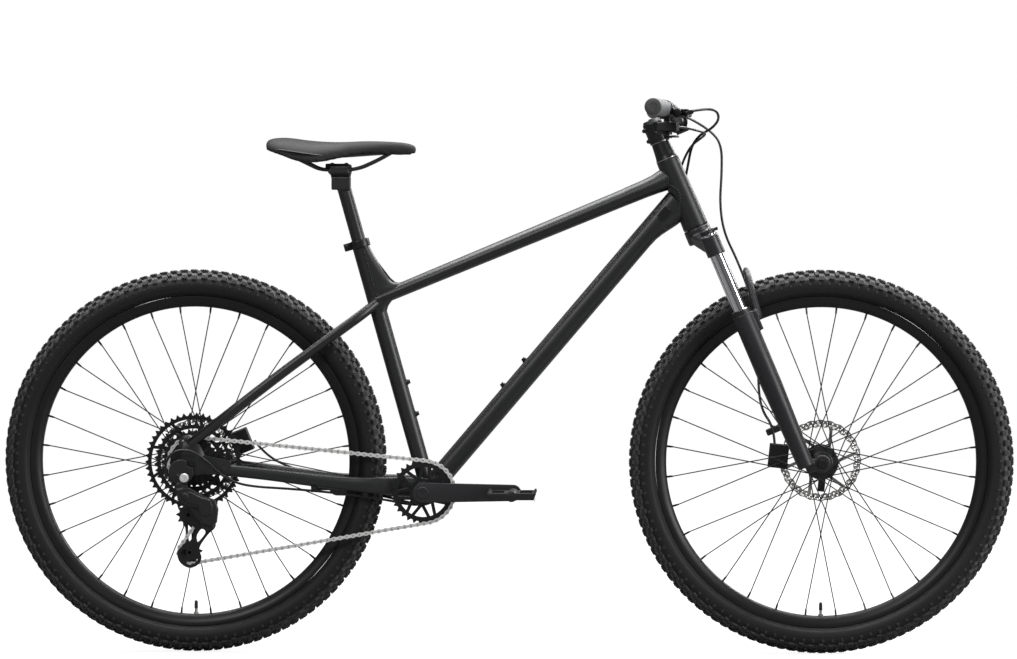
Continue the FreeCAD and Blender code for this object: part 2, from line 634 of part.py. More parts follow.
def frame_fittings():
    """Bottle bosses with their bolts, the cable port, and the housing guides."""
    pieces = []
    for index in range(2):
        foot = (DOWN_START + DOWN_AXIS * (size.down_boss_start + index * size.boss_spacing)
                + DOWN_UP * size.down_tube_half_depth)
        boss = rod("down_boss_%d" % index, "5.5", "3", foot - DOWN_UP * 0.4, DOWN_UP)
        pieces.append(fuse("down_boss_set_%d" % index, [
            boss, rod("down_bolt_%d" % index, "4.2", "4", foot + DOWN_UP * 2.6, DOWN_UP)]))
    ahead = Rotation(LEFT, -size.seat_lean).multVec(Vector(1, 0, 0))
    for index in range(2):
        foot = (SEAT_LOW + SEAT_UP * (size.seat_boss_start + index * size.boss_spacing)
                + ahead * size.seat_tube_radius)
        boss = rod("seat_boss_%d" % index, "5.5", "3", foot - ahead * 1.0, ahead)
        pieces.append(fuse("seat_boss_set_%d" % index, [
            boss, rod("seat_bolt_%d" % index, "4.2", "4", foot + ahead * 2, ahead)]))
    tubes = [rod("seat_room_boss", "seat_tube_radius", "seat_tube_length", SEAT_LOW, SEAT_UP),
             down_tube_copy("down_room_boss")]
    return [cut("bosses_seated", group("bosses", pieces), tubes)]


FITTINGS = frame_fittings()


def rear_axle():
    """The through axle, threaded in the right dropout, with a low hexagonal cap at each side."""
    start = REAR_AXLE - LEFT * (DROPOUT_OUTER + 6)
    shaft = rod("rear_axle_shaft", "axle_radius", "2 * %g" % (DROPOUT_OUTER + 6), start, LEFT)
    left_cap = cone("rear_axle_cap", "10", "8", "6", REAR_AXLE + LEFT * DROPOUT_OUTER, LEFT)
    node("rear_axle", fuse("rear_axle_all", [shaft, left_cap]))


rear_axle()


# ---------------------------------------------------------------- fork and steering

def fork():
    crown_boss = rod("crown_boss", "26", "29", steered(0, 0, -size.crown_top - 29), STEER_UP)
    steerer = rod("steerer", "steerer_radius", "head_length + spacer_height + stem_height + 8",
                  steered(0, 0, -8), STEER_UP)
    pieces = [crown_boss, steerer]
    for side in (1, -1):
        y = side * size.leg_spacing
        name = "left" if side > 0 else "right"
        socket = rod("crown_socket_" + name, "18", "40", steered(size.leg_lead, y, -66.5), STEER_UP)
        face = Part.Face(Part.Wire([Part.makeLine(a, b) for a, b in (
            (steered(-20, side * 14, -12), steered(22, side * 14, -12)),
            (steered(22, side * 14, -12), steered(22, side * 14, -31)),
            (steered(22, side * 14, -31), steered(-20, side * 14, -31)),
            (steered(-20, side * 14, -31), steered(-20, side * 14, -12)))]))
        outer = Part.Face(Part.Wire([Part.makeLine(a, b) for a, b in (
            (steered(2, y, -30), steered(30, y, -30)), (steered(30, y, -30), steered(30, y, -62)),
            (steered(30, y, -62), steered(2, y, -62)), (steered(2, y, -62), steered(2, y, -30)))]))
        arm = fixed("crown_arm_" + name, Part.makeLoft([face.OuterWire, outer.OuterWire], True, True))
        pieces += [socket, arm]
    crown = fuse("crown_all", pieces)
    rooms = [rod("stanchion_room_" + name, "stanchion_radius", "46", steered(size.leg_lead, y, -70), STEER_UP)
             for name, y in (("left", size.leg_spacing), ("right", -size.leg_spacing))]
    node("fork_crown", cut("crown_bored", crown, rooms))
    tubes = []
    for side in (1, -1):
        name = "left" if side > 0 else "right"
        tubes.append(rod("stanchion_" + name, "stanchion_radius", "seal_depth + 130",
                         steered(size.leg_lead, side * size.leg_spacing, -24 - size.seal_depth - 130), STEER_UP))
    lowers()
    return tubes


def lowers():
    pieces = []
    rooms = []
    seals = []
    for side in (1, -1):
        name = "left" if side > 0 else "right"
        y = side * size.leg_spacing
        top = steered(size.leg_lead, y, -size.seal_depth)
        pieces.append(rod("lower_top_" + name, "lower_radius", "150", top - STEER_UP * 158, STEER_UP))
        pieces.append(cone("lower_leg_" + name, "lower_foot", "lower_radius", "170", top - STEER_UP * 328,
                           STEER_UP))
        seals.append(rod("seal_" + name, "lower_radius - 1", "8", top - STEER_UP * 8, STEER_UP))
        foot = FRONT_AXLE + LEFT * (side * size.front_hub_width / 2)
        out = LEFT * (side * 12)
        pieces.append(rod("drop_disc_" + name, "17", "12", foot, out))
        between = (steered(size.leg_lead, side * (foot.y * side + 5.9), -size.fork_length + 6) + foot
                   + LEFT * (side * 5.9)) * 0.5
        pieces.append(block("drop_web_" + name, "34", "11.8", "24", between, STEER_TURN))
        rooms.append(rod("lower_room_" + name, "stanchion_radius + stanchion_gap", "260",
                         top - STEER_UP * 260, STEER_UP))
    arch_points = [steered(44, size.leg_spacing - 2, -208), steered(52, 44, -152), steered(56, 22, -122),
                   steered(56, -22, -122), steered(52, -44, -152), steered(44, 2 - size.leg_spacing, -208)]
    arch = swept("fork_arch", arch_points, 7, 11, STEER_AHEAD)
    for side in (1, -1):
        name = "left" if side > 0 else "right"
        corner = steered(30, side * (size.leg_spacing - 1), -212)
        pieces.append(block("arch_foot_" + name, "28", "20", "40", corner, STEER_TURN))
    mount = block("front_brake_post", "44", "14", "13", steered(-8, size.leg_spacing - 9, -427), STEER_TURN)
    axle_room = rod("front_axle_room", "axle_radius + bearing_gap", "front_hub_width + 40",
                    FRONT_AXLE - LEFT * (size.front_hub_width / 2 + 20), LEFT)
    body = fuse("lowers_body", pieces + [arch, mount])
    node("fork_lowers", cut("lowers_bored", body, rooms + [axle_room] + [
        rod("seal_room_%d" % index, "lower_radius - 1", "8", steered(size.leg_lead, side, -size.seal_depth - 8),
            STEER_UP) for index, side in enumerate((size.leg_spacing, -size.leg_spacing))]))
    rings = [cut("seal_ring_%d" % index, ring, [
        rod("seal_bore_%d" % index, "stanchion_radius + stanchion_gap", "8",
            steered(size.leg_lead, side, -size.seal_depth - 8), STEER_UP)])
        for index, (ring, side) in enumerate(zip(seals, (size.leg_spacing, -size.leg_spacing)))]
    node("fork_seals", group("seal_pair", rings))


STANCHIONS = fork()


def front_axle():
    reach = size.front_hub_width / 2 + 12
    shaft = rod("front_axle_shaft", "axle_radius", "2 * %g + 8" % reach,
                FRONT_AXLE - LEFT * (reach + 2), LEFT)
    cap = cone("front_axle_cap", "8", "9.5", "4", FRONT_AXLE - LEFT * (reach + 4), LEFT)
    node("front_axle", fuse("front_axle_all", [shaft, cap]))
    # the clamping lever turns on the left end of the axle
    hub_end = FRONT_AXLE + LEFT * (reach + 0.3)
    barrel = cut("lever_barrel", rod("lever_barrel_form", "10", "10", hub_end, LEFT), [
        rod("lever_bore", "axle_radius + bearing_gap", "10", hub_end, LEFT)])
    blade = block("lever_blade", "14", "6", "58", hub_end + Vector(5, 5, -34), Rotation(LEFT, 6))
    room = rod("lever_room", "9.9", "10", hub_end, LEFT)
    node("axle_lever", fuse("axle_lever_all", [barrel, cut("lever_blade_cut", blade, [room])]))


front_axle()


def caliper(name, axle, rotor_y, angle, reach):
    """A brake caliper astride the rotor's rim: two halves, a slot for the rotor and its pads."""
    turn = Rotation(LEFT, angle)
    centre = axle + LEFT * rotor_y + turn.multVec(Vector(reach, 0, 0))
    body = block(name + "_body", "38", "28", "46", centre + LEFT * 1.5, turn)
    slot = block(name + "_slot", "38", "6", "48", centre - turn.multVec(Vector(8, 0, 0)), turn)
    pads = [block("%s_pad_%d" % (name, side), "24", "1.6", "30", centre - turn.multVec(Vector(4, 0, 0))
                  + LEFT * (side * 2.1), turn) for side in (1, -1)]
    piston = rod(name + "_piston_cap", "13", "33", centre + turn.multVec(Vector(2, 0, 0)) - LEFT * 12.5, LEFT)
    shell = cut(name + "_shell", fuse(name + "_solid", [body, piston]), [slot])
    return group(name + "_all", [shell] + pads), centre, turn


front_set, FRONT_CALIPER, FRONT_CALIPER_TURN = caliper(
    "front_caliper", FRONT_AXLE, ROTOR_FRONT, 186, size.rotor_radius + 2)
node("front_caliper", front_set)
rear_set, REAR_CALIPER, REAR_CALIPER_TURN = caliper(
    "rear_caliper", REAR_AXLE, ROTOR_REAR, -22, size.rotor_radius + 10)
node("rear_caliper", rear_set)


# ---------------------------------------------------------------- drivetrain

def pitch_radius(teeth):
    return size.chain_pitch / (2 * math.sin(math.pi / teeth))


PULLEY_GUIDE = REAR_AXLE + Vector(-9, 0, -102)
PULLEY_TENSION = REAR_AXLE + Vector(-7, 0, -175)
CAGE_PIVOT = REAR_AXLE + Vector(30, 0, -116)
RUNS = [(REAR_AXLE, size.chosen_cog, 1), (BOTTOM_BRACKET, size.ring_teeth, 1),
        (PULLEY_TENSION, size.pulley_teeth, 1), (PULLEY_GUIDE, size.pulley_teeth, -1)]


def tangent(first, second):
    """Where the chain leaves one wheel and meets the next; a sense of 1 runs over the top going forward."""
    (centre_a, teeth_a, sense_a), (centre_b, teeth_b, sense_b) = first, second
    radius_a = sense_a * pitch_radius(teeth_a)
    radius_b = sense_b * pitch_radius(teeth_b)
    gap = centre_b - centre_a
    heading = math.atan2(gap.z, gap.x) + math.asin((radius_b - radius_a) / math.hypot(gap.x, gap.z))
    outward = Vector(-math.sin(heading), 0, math.cos(heading))
    return centre_a + outward * radius_a, centre_b + outward * radius_b


def chain_path():
    """The chain's centre line as edges, the centre of each roller, and each wheel's arrival point."""
    joins = [tangent(RUNS[index], RUNS[(index + 1) % 4]) for index in range(4)]
    edges = []
    rollers = []
    arrivals = []
    for index, (centre, teeth, sense) in enumerate(RUNS):
        arrive = joins[index - 1][1]
        leave = joins[index][0]
        arrivals.append(arrive)
        first = math.atan2(arrive.z - centre.z, arrive.x - centre.x)
        last = math.atan2(leave.z - centre.z, leave.x - centre.x)
        sweep = (first - last) % (2 * math.pi) if sense > 0 else (last - first) % (2 * math.pi)
        radius = pitch_radius(teeth)

        def spot(angle):
            turned_by = first - sense * angle
            return centre + Vector(radius * math.cos(turned_by), 0, radius * math.sin(turned_by))

        edges.append(Part.Arc(arrive, spot(sweep / 2), leave).toShape())
        step = 2 * math.pi / teeth
        held = int(sweep / step) + 1
        on_wheel = [spot(step * turn) for turn in range(held)]
        rollers += on_wheel
        target = joins[index][1]
        edges.append(Part.LineSegment(leave, target).toShape())
        between = round(((leave - on_wheel[-1]).Length + (target - leave).Length) / size.chain_pitch)
        along = (target - leave).normalize()
        shortfall = (leave - on_wheel[-1]).Length
        total = shortfall + (target - leave).Length
        for turn in range(1, between):
            distance = total * turn / between
            rollers.append(leave + along * (distance - shortfall) if distance > shortfall
                           else on_wheel[-1] + (leave - on_wheel[-1]).normalize() * distance)
    return Part.Wire(edges), rollers, arrivals


CHAIN_WIRE, ROLLERS, ARRIVALS = chain_path()


def wheel_phase(index):
    """A turn about Y that puts a tooth gap under the roller that arrives at this wheel."""
    centre = RUNS[index][0]
    spot = ARRIVALS[index] - centre
    return Rotation(LEFT, -math.degrees(math.atan2(spot.z, spot.x)))


def chain():
    shift = LEFT * -size.chain_line
    pieces = []
    outer = CHAIN_WIRE.makeOffset2D(size.plate_height, join=2)
    inner = CHAIN_WIRE.makeOffset2D(-size.plate_height, join=2)
    band = Part.makeFace([outer, inner], "Part::FaceMakerBullseye")
    for side in (1, -1):
        start = side * size.plate_offset if side > 0 else -size.plate_offset - size.plate_width
        plate = band.extrude(LEFT * size.plate_width)
        plate.translate(shift + LEFT * start)
        pieces.append(plate)
    for spot in ROLLERS:
        pieces.append(Part.makeCylinder(size.roller_radius, 2 * size.plate_offset,
                                        spot + shift - LEFT * size.plate_offset, LEFT))
    node("chain", fixed("chain_loop", Part.Compound(pieces)))


chain()


def cassette():
    teeth = [11, 13, 15, 18, 21, size.chosen_cog, 30, 37, 46]
    chosen = teeth.index(size.chosen_cog)
    cogs = []
    for index, count in enumerate(teeth):
        y = -size.chain_line + (index - chosen) * size.cog_spacing
        turn = wheel_phase(0) if index == chosen else Rotation(LEFT, 17 * index)
        windows = []
        if count > 28:
            reach = pitch_radius(count) - 14
            windows = [("cog_%d_window" % count, str(reach), "0", "7", str(count // 4))]
        cogs.append(toothed("cog_%d" % count, str(count), "cog_width", "20", Placement(
            REAR_AXLE + LEFT * y, turn), windows))
    span = (len(teeth) - 1) * size.cog_spacing
    first = -size.chain_line - chosen * size.cog_spacing
    start = REAR_AXLE + LEFT * (first - 3)
    barrel = rod("freehub_outer", "20", "%g" % (span + 8), start, LEFT)
    freehub = cut("freehub", barrel, [rod("freehub_bore", "axle_radius + 5.6", "%g" % (span + 8), start, LEFT),
                                      rod("lockring_room", "17", "1.5", start, LEFT)])
    node("cassette", group("cassette_all", cogs + [freehub]))


cassette()


def crankset():
    windows = [("ring_window_outer", "43", "0", "6.5", "8"), ("ring_window_inner", "33", "6", "5.5", "8")]
    ring = toothed("chainring", "ring_teeth", "cog_width", "crank_eye", Placement(
        BOTTOM_BRACKET - LEFT * size.chain_line, wheel_phase(1)), windows)
    node("chainring", ring)
    spindle = rod("crank_spindle_form", "spindle_radius", "2 * crank_inner",
                  BOTTOM_BRACKET - LEFT * size.crank_inner, LEFT)
    node("crank_spindle", spindle)
    arms = []
    for side in (-1, 1):
        name = "right" if side < 0 else "left"
        turn = Rotation() if side < 0 else Rotation(UP, 180)
        # the arm is drawn along +X from y = crank_inner outward on its own side
        y = -size.crank_inner - size.crank_width if side < 0 else size.crank_inner + size.crank_width
        place = Placement(BOTTOM_BRACKET + LEFT * y, turn)
        arm = bar_link("crank_arm_form_" + name, "crank_eye", "crank_foot", "crank_length", "crank_width", place)
        foot = BOTTOM_BRACKET + turn.multVec(Vector(size.crank_length, 0, 0))
        hole = rod("pedal_thread_" + name, "pedal_axle", "crank_width + 2", foot + LEFT * (y + side),
                   LEFT * -side)
        pieces = [cut("crank_arm_" + name, arm, [hole])]
        if side < 0:
            carrier = cut("ring_carrier_wall", rod(
                "ring_carrier", "crank_eye", "crank_inner - chain_line + cog_width / 2",
                BOTTOM_BRACKET - LEFT * size.crank_inner, LEFT), [
                rod("ring_carrier_bore", "spindle_radius", "crank_inner",
                    BOTTOM_BRACKET - LEFT * size.crank_inner, LEFT)])
            pieces.append(carrier)
        else:
            pieces.append(cut("left_collar_wall", rod("left_collar", "crank_eye - 3", "8",
                          BOTTOM_BRACKET + LEFT * (size.crank_inner - 8), LEFT), [
                rod("left_collar_bore", "spindle_radius", "8", BOTTOM_BRACKET
                    + LEFT * (size.crank_inner - 8), LEFT)]))
        arms.append(fuse("crank_" + name, pieces))
    node("crank_arms", group("crank_arm_pair", arms))
    axles = [pedal(side, name) for side, name in ((-1, "right"), (1, "left"))]
    node("pedal_axles", group("pedal_axle_pair", axles))


def pedal(side, name):
    ahead = 1 if side < 0 else -1
    centre = BOTTOM_BRACKET + Vector(ahead * size.crank_length, 0, 0)
    inner = size.crank_inner + size.crank_width
    axle = rod("pedal_axle_form_" + name, "pedal_axle", "crank_width + pedal_width - 6",
               centre + LEFT * (side * size.crank_inner), LEFT * side)
    collar = rod("pedal_axle_collar_" + name, "8", "pedal_gap - 0.3", centre + LEFT * (side * inner),
                 LEFT * side)
    middle = centre + LEFT * (side * (inner + size.pedal_gap + size.pedal_width / 2))
    base = block("pedal_base_" + name, "pedal_length", "pedal_width", "pedal_thickness - 5", middle)
    rooms = [block("pedal_window_%s_%d" % (name, end), "24", "pedal_width - 34", "pedal_thickness + 2",
                   middle + Vector(end * 27, 0, 0)) for end in (1, -1)]
    rooms.append(rod("pedal_bore_" + name, "pedal_axle + bearing_gap", "pedal_width - 3",
                     middle - LEFT * (side * size.pedal_width / 2), LEFT * side))
    hub = rod("pedal_hub_" + name, "pedal_thickness / 2 + 1", "pedal_width",
              middle - LEFT * (side * size.pedal_width / 2), LEFT * side)
    pins = []
    for along in (-1, 1):
        for across in (-36, -12, 12, 36):
            for up in (-1, 1):
                at = middle + Vector(along * (size.pedal_length / 2 - 5), across, up * (size.pedal_thickness / 2 - 3))
                pins.append(rod("pedal_pin_%s_%d_%d_%d" % (name, along, across, up), "2", "4", at, UP * up))
    ends = [block("pedal_corner_%s_%d" % (name, turn), "9", "pedal_width + 2", "pedal_thickness + 4",
                  middle + Vector(turn * (size.pedal_length / 2 + 0.4), 0, 0), Rotation(LEFT, turn * 18))
            for turn in (1, -1)]
    shell = cut("pedal_shell_" + name, fuse("pedal_body_" + name, [base, hub] + pins), rooms + ends)
    node("pedal_" + name, shell)
    return fuse("pedal_axle_all_" + name, [axle, collar])


crankset()


def derailleur():
    """The knuckles, the two links between them, the cage with its plates, and the two jockey wheels."""
    y = -DROPOUT_OUTER
    hanger_at = REAR_AXLE + Vector(-18, 0, -14)
    knuckle = hanger_at + Vector(-2, 0, -3)
    pieces = [rod("knuckle_b", "24", "12", knuckle + LEFT * (y - 12), LEFT),
              block("knuckle_neck", "22", "11", "40", knuckle + Vector(2, y - 14, -26), Rotation(LEFT, 4)),
              rod("knuckle_bolt", "9", "5", knuckle + Vector(-2, y - 24.5, -30), LEFT)]
    link_from = knuckle + Vector(10, y - 14, -46)
    link_to = CAGE_PIVOT + LEFT * (y + 6)
    along = link_to - link_from
    middle = (link_from + link_to) * 0.5
    pitch = -math.degrees(math.atan2(along.z, along.x))
    for index, shift in enumerate((-9, 9)):
        pieces.append(block("link_%d" % index, "%g" % (along.Length + 22), "7", "17",
                            middle + LEFT * shift, Rotation(LEFT, pitch)))
    for index, spot in enumerate((link_from, link_to)):
        pieces.append(rod("link_pin_%d" % index, "6", "34", spot - LEFT * 17, LEFT))
    cage_face = -size.chain_line - 8.5
    pieces.append(rod("knuckle_p", "14", "%g" % (abs(link_to.y - cage_face) + 6),
                      CAGE_PIVOT + LEFT * (cage_face), -LEFT))
    axle_room = rod("derailleur_axle_room", "8", "80", REAR_AXLE - LEFT * 140, LEFT)
    node("derailleur_body", cut("derailleur_trimmed", fuse("derailleur_all", pieces), [axle_room]))
    plates = []
    for name, start, width in (("outer", -size.chain_line - 8.2, 3), ("inner", -size.chain_line + 5.2, 3)):
        heading = PULLEY_TENSION - PULLEY_GUIDE
        turn = Rotation(LEFT, -math.degrees(math.atan2(heading.z, heading.x)))
        plate = bar_link("cage_plate_" + name, "14" if name == "outer" else "10", "16", "%g" % heading.Length, "%g" % width,
                         Placement(PULLEY_GUIDE + LEFT * start, turn))
        plates.append(plate)
    heading = CAGE_PIVOT - PULLEY_GUIDE
    turn = Rotation(LEFT, -math.degrees(math.atan2(heading.z, heading.x)))
    plates[0] = fuse("cage_outer", [plates[0], bar_link("cage_ear", "13", "13", "%g" % heading.Length, "3",
                     Placement(PULLEY_GUIDE + LEFT * (-size.chain_line - 8.2), turn))])
    for name, spot in (("guide", PULLEY_GUIDE), ("tension", PULLEY_TENSION)):
        plates.append(rod("pulley_bolt_" + name, "3", "16.4",
                          spot + LEFT * (-size.chain_line - 8.2), LEFT))
    node("derailleur_cage", fuse("cage_all", plates))
    for index, name, spot in ((3, "guide", PULLEY_GUIDE), (2, "tension", PULLEY_TENSION)):
        node(name + "_pulley", toothed(name + "_pulley", "pulley_teeth", "cog_width + 0.6", "3 + bearing_gap",
                                       Placement(spot - LEFT * size.chain_line, wheel_phase(index)),
                                       tip="tooth_height / 8"))


derailleur()


# ---------------------------------------------------------------- cockpit

BAR = steered(size.stem_length, 0, size.head_length + size.spacer_height + size.stem_height / 2 + 2)
STEM_CENTRE = steered(0, 0, size.head_length + size.spacer_height + size.stem_height / 2)


def bar_points():
    """The bar's centre line from the clamp outwards on the left: flat, rising, then swept back."""
    half = size.bar_width / 2
    sweep = math.radians(size.bar_sweep)
    rise = BAR + Vector(-6, 130, size.bar_rise)
    end = rise + Vector(-math.sin(sweep), math.cos(sweep), 0.012) * ((half - 130) / math.cos(sweep))
    return [BAR, BAR + LEFT * 45, rise, end]


def cockpit():
    base = size.head_length
    spacer = turned("cone_spacer", [
        ("steerer_radius", "head_length + 3.3"), ("head_upper - 0.5", "head_length + 3.3"),
        ("head_upper - 2", "head_length + 10"), ("steerer_radius + 3", "head_length + spacer_height"),
        ("steerer_radius", "head_length + spacer_height")], STEER, "Z")
    clamp = rod("stem_clamp", "steerer_radius + 5", "stem_height", steered(0, 0, base + size.spacer_height),
                STEER_UP)
    reach = (BAR - STEM_CENTRE).Length
    neck = block("stem_neck", "%g" % reach, "30", "25", (BAR + STEM_CENTRE) * 0.5, STEER_TURN)
    cap = rod("bar_clamp", "bar_clamp_radius + 5", "48", BAR - LEFT * 24, LEFT)
    room = rod("bar_room", "bar_clamp_radius", "48", BAR - LEFT * 24, LEFT)
    steerer_room = rod("steerer_room", "steerer_radius", "stem_height",
                       steered(0, 0, base + size.spacer_height), STEER_UP)
    split = block("faceplate_split", "2", "50", "50", BAR + STEER_AHEAD, STEER_TURN)
    bolts = []
    for side in (1, -1):
        for up in (1, -1):
            bolts.append(rod("faceplate_bolt_%d_%d" % (side, up), "3.5", "25",
                             BAR - STEER_AHEAD * 9 + LEFT * (side * 17) + STEER_UP * (up * 20),
                             STEER_AHEAD))
    pinch = []
    for index, up in enumerate((9, 31)):
        spot = steered(-size.steerer_radius - 6, 0, base + size.spacer_height + up)
        pinch.append(rod("pinch_bolt_%d" % index, "4", "26", spot - LEFT * 13, LEFT))
    body = cut("stem_split", fuse("stem_form", [clamp, neck, cap] + pinch), [split])
    node("stem", cut("stem_bored", fuse("stem_bolted", [body] + bolts), [room, steerer_room]))
    top = base + size.spacer_height + size.stem_height
    cap = fuse("stem_cap", [
        cone("cap_disc", "steerer_radius + 4.5", "steerer_radius + 1", "6", steered(0, 0, top), STEER_UP),
        rod("cap_bolt", "4.5", "3", steered(0, 0, top + 5), STEER_UP)])
    node("headset_spacers", group("spacer_and_cap", [spacer, cap]))
    points = bar_points()
    left = [Vector(point) for point in points]
    right = [Vector(point.x, -point.y, point.z) for point in points]
    route = list(reversed(right[1:])) + left[1:]
    wire, _ = route_wire(route)
    start = route[0]
    profile = Part.Wire([Part.Circle(start, route[1] - start, size.bar_radius).toShape()])
    tube = fixed("bar_tube", Part.Solid(wire.makePipeShell([profile], True, True)))
    bulge = rod("bar_bulge", "bar_clamp_radius", "48", BAR - LEFT * 24, LEFT)
    tapers = [cone("bar_taper_%d" % side, "bar_clamp_radius", "bar_radius", "16", BAR + LEFT * (24 * side),
                   LEFT * side) for side in (1, -1)]
    node("handlebar", fuse("bar_all", [tube, bulge] + tapers))
    grips = []
    for side, name in ((1, "left"), (-1, "right")):
        tip = Vector(points[3].x, side * points[3].y, points[3].z)
        inward = Vector(points[2].x, side * points[2].y, points[2].z) - tip
        inward.normalize()
        sleeve = rod("grip_sleeve_" + name, "grip_radius", "grip_length", tip - inward * 3, inward)
        flange = rod("grip_flange_" + name, "grip_radius + 3", "4", tip + inward * (size.grip_length - 7), inward)
        room = rod("grip_bore_" + name, "bar_radius", "grip_length + 10", tip, inward)
        grips.append(cut("grip_" + name, fuse("grip_form_" + name, [sleeve, flange]), [room]))
    node("grips", group("grip_pair", grips))
    return points


BAR_POINTS = cockpit()


def along_bar(side, distance):
    """The place on the bar at this distance in from its tip, and the direction inwards."""
    tip = Vector(BAR_POINTS[3].x, side * BAR_POINTS[3].y, BAR_POINTS[3].z)
    inward = Vector(BAR_POINTS[2].x, side * BAR_POINTS[2].y, BAR_POINTS[2].z) - tip
    inward.normalize()
    return tip + inward * distance, inward


LEVER_SPOTS = {}


def controls():
    clamps = []
    for side, name in ((1, "left"), (-1, "right")):
        spot, inward = along_bar(side, size.grip_length + 18)
        ahead = inward.cross(UP) * (-side)
        if ahead.x < 0:
            ahead = ahead * -1
        ring = cut("lever_clamp_" + name, rod("lever_clamp_form_" + name, "bar_radius + 5", "12",
                                              spot - inward * 6, inward), [
            rod("lever_clamp_bore_" + name, "bar_radius", "12", spot - inward * 6, inward)])
        drop = ahead * 24 + UP * -9
        housing = rod("master_cylinder_" + name, "9", "62", spot + drop - inward * 10, inward)
        neck = block("master_neck_" + name, "22", "12", "12", spot + drop * 0.62,
                     Rotation(ahead, inward * -side, UP, "XZY"))
        bore = rod("master_bar_room_" + name, "bar_radius", "40", spot - inward * 20, inward)
        ear = spot + drop + inward * 6 + ahead * 10
        fork = block("lever_fork_" + name, "20", "20", "16", ear, Rotation(ahead, inward * -side, UP, "XZY"))
        pivot = ear + ahead * 3
        slot = block("lever_fork_slot_" + name, "26", "26", "9", ear + ahead * 4,
                     Rotation(ahead, inward * -side, UP, "XZY"))
        pin = rod("lever_pin_" + name, "2.5", "16", pivot - UP * 8, UP)
        clamps.append(fuse("master_" + name, [cut("master_shell_" + name, fuse(
            "master_form_" + name, [ring, housing, neck, fork]), [slot, bore]), pin]))
        LEVER_SPOTS[name] = (pivot, ahead, inward)
        blade_route = [pivot, pivot - inward * 24 + ahead * 14, pivot - inward * 70 + ahead * 18,
                       pivot - inward * 100 + ahead * 26]
        blade = swept("lever_blade_" + name, blade_route, 4, 5.5, UP)
        hub = rod("lever_hub_" + name, "7", "8", pivot - UP * 4, UP)
        hole = rod("lever_hub_bore_" + name, "2.5 + bearing_gap", "12", pivot - UP * 6, UP)
        node("brake_lever_" + name, cut("lever_all_" + name, fuse("lever_form_" + name, [blade, hub]), [hole]))
    node("brake_master_cylinders", group("master_pair", clamps))
    shifter()


SHIFTER = {}


def shifter():
    spot, inward = along_bar(-1, size.grip_length + 44)
    ahead = UP.cross(inward)
    if ahead.x < 0:
        ahead = ahead * -1
    ring = cut("shifter_clamp", rod("shifter_clamp_form", "bar_radius + 4", "11", spot - inward * 5.5, inward), [
        rod("shifter_clamp_bore", "bar_radius", "11", spot - inward * 5.5, inward)])
    middle = spot - UP * 34 + ahead * 2
    frame_turn = Rotation(ahead, inward, UP, "XZY")
    pod = block("shifter_pod", "38", "32", "17", middle, frame_turn)
    neck = block("shifter_neck", "12", "10", "24", spot - UP * 20, frame_turn)
    post = rod("shifter_post", "3", "16", middle - UP * 24, UP)
    bore = rod("shifter_bar_room", "bar_radius", "20", spot - inward * 10, inward)
    node("shifter_body", cut("shifter_trimmed", fuse("shifter_form", [ring, pod, neck, post]), [bore]))
    SHIFTER["pivot"] = middle - UP * 12
    for name, level, heading, reach in (("thumb", -12.5, -ahead * 0.5 - inward * 0.87, 42),
                                        ("release", -19, ahead * 0.6 - inward * 0.8, 36)):
        foot = middle + UP * level
        hub = rod("shift_hub_" + name, "8", "5", foot - UP * 2.5, UP)
        tip = foot + heading * reach
        blade = swept("shift_blade_" + name, [foot, foot + heading * (reach * 0.55) + UP * 0.5, tip], 2.2, 5, UP)
        hole = rod("shift_bore_" + name, "3 + bearing_gap", "8", foot - UP * 4, UP)
        node("shift_%s_lever" % name, cut("shift_all_" + name, fuse("shift_form_" + name, [blade, hub]), [hole]))


controls()


def lockout():
    top = steered(size.leg_lead, -size.leg_spacing, -24)
    post = rod("dial_post", "4", "10", top, STEER_UP)
    dial = cut("dial_bored", fuse("dial_form", [rod("dial_ring", "14", "9", top + STEER_UP * 0.3, STEER_UP),
                                               block("dial_tab", "24", "6", "6", top + STEER_UP * 5
                                                     + STEER_AHEAD * 10, STEER_TURN)]), [
        rod("dial_bore", "4 + bearing_gap", "12", top, STEER_UP)])
    node("lockout_dial", dial)
    cap = rod("air_cap", "11", "6", steered(size.leg_lead, size.leg_spacing, -24), STEER_UP)
    node("stanchions", group("stanchion_set", STANCHIONS + [cap, post]))


lockout()


# ---------------------------------------------------------------- seat

POST_TOP = SEAT_LOW + SEAT_UP * (size.seat_tube_length + size.post_reach)


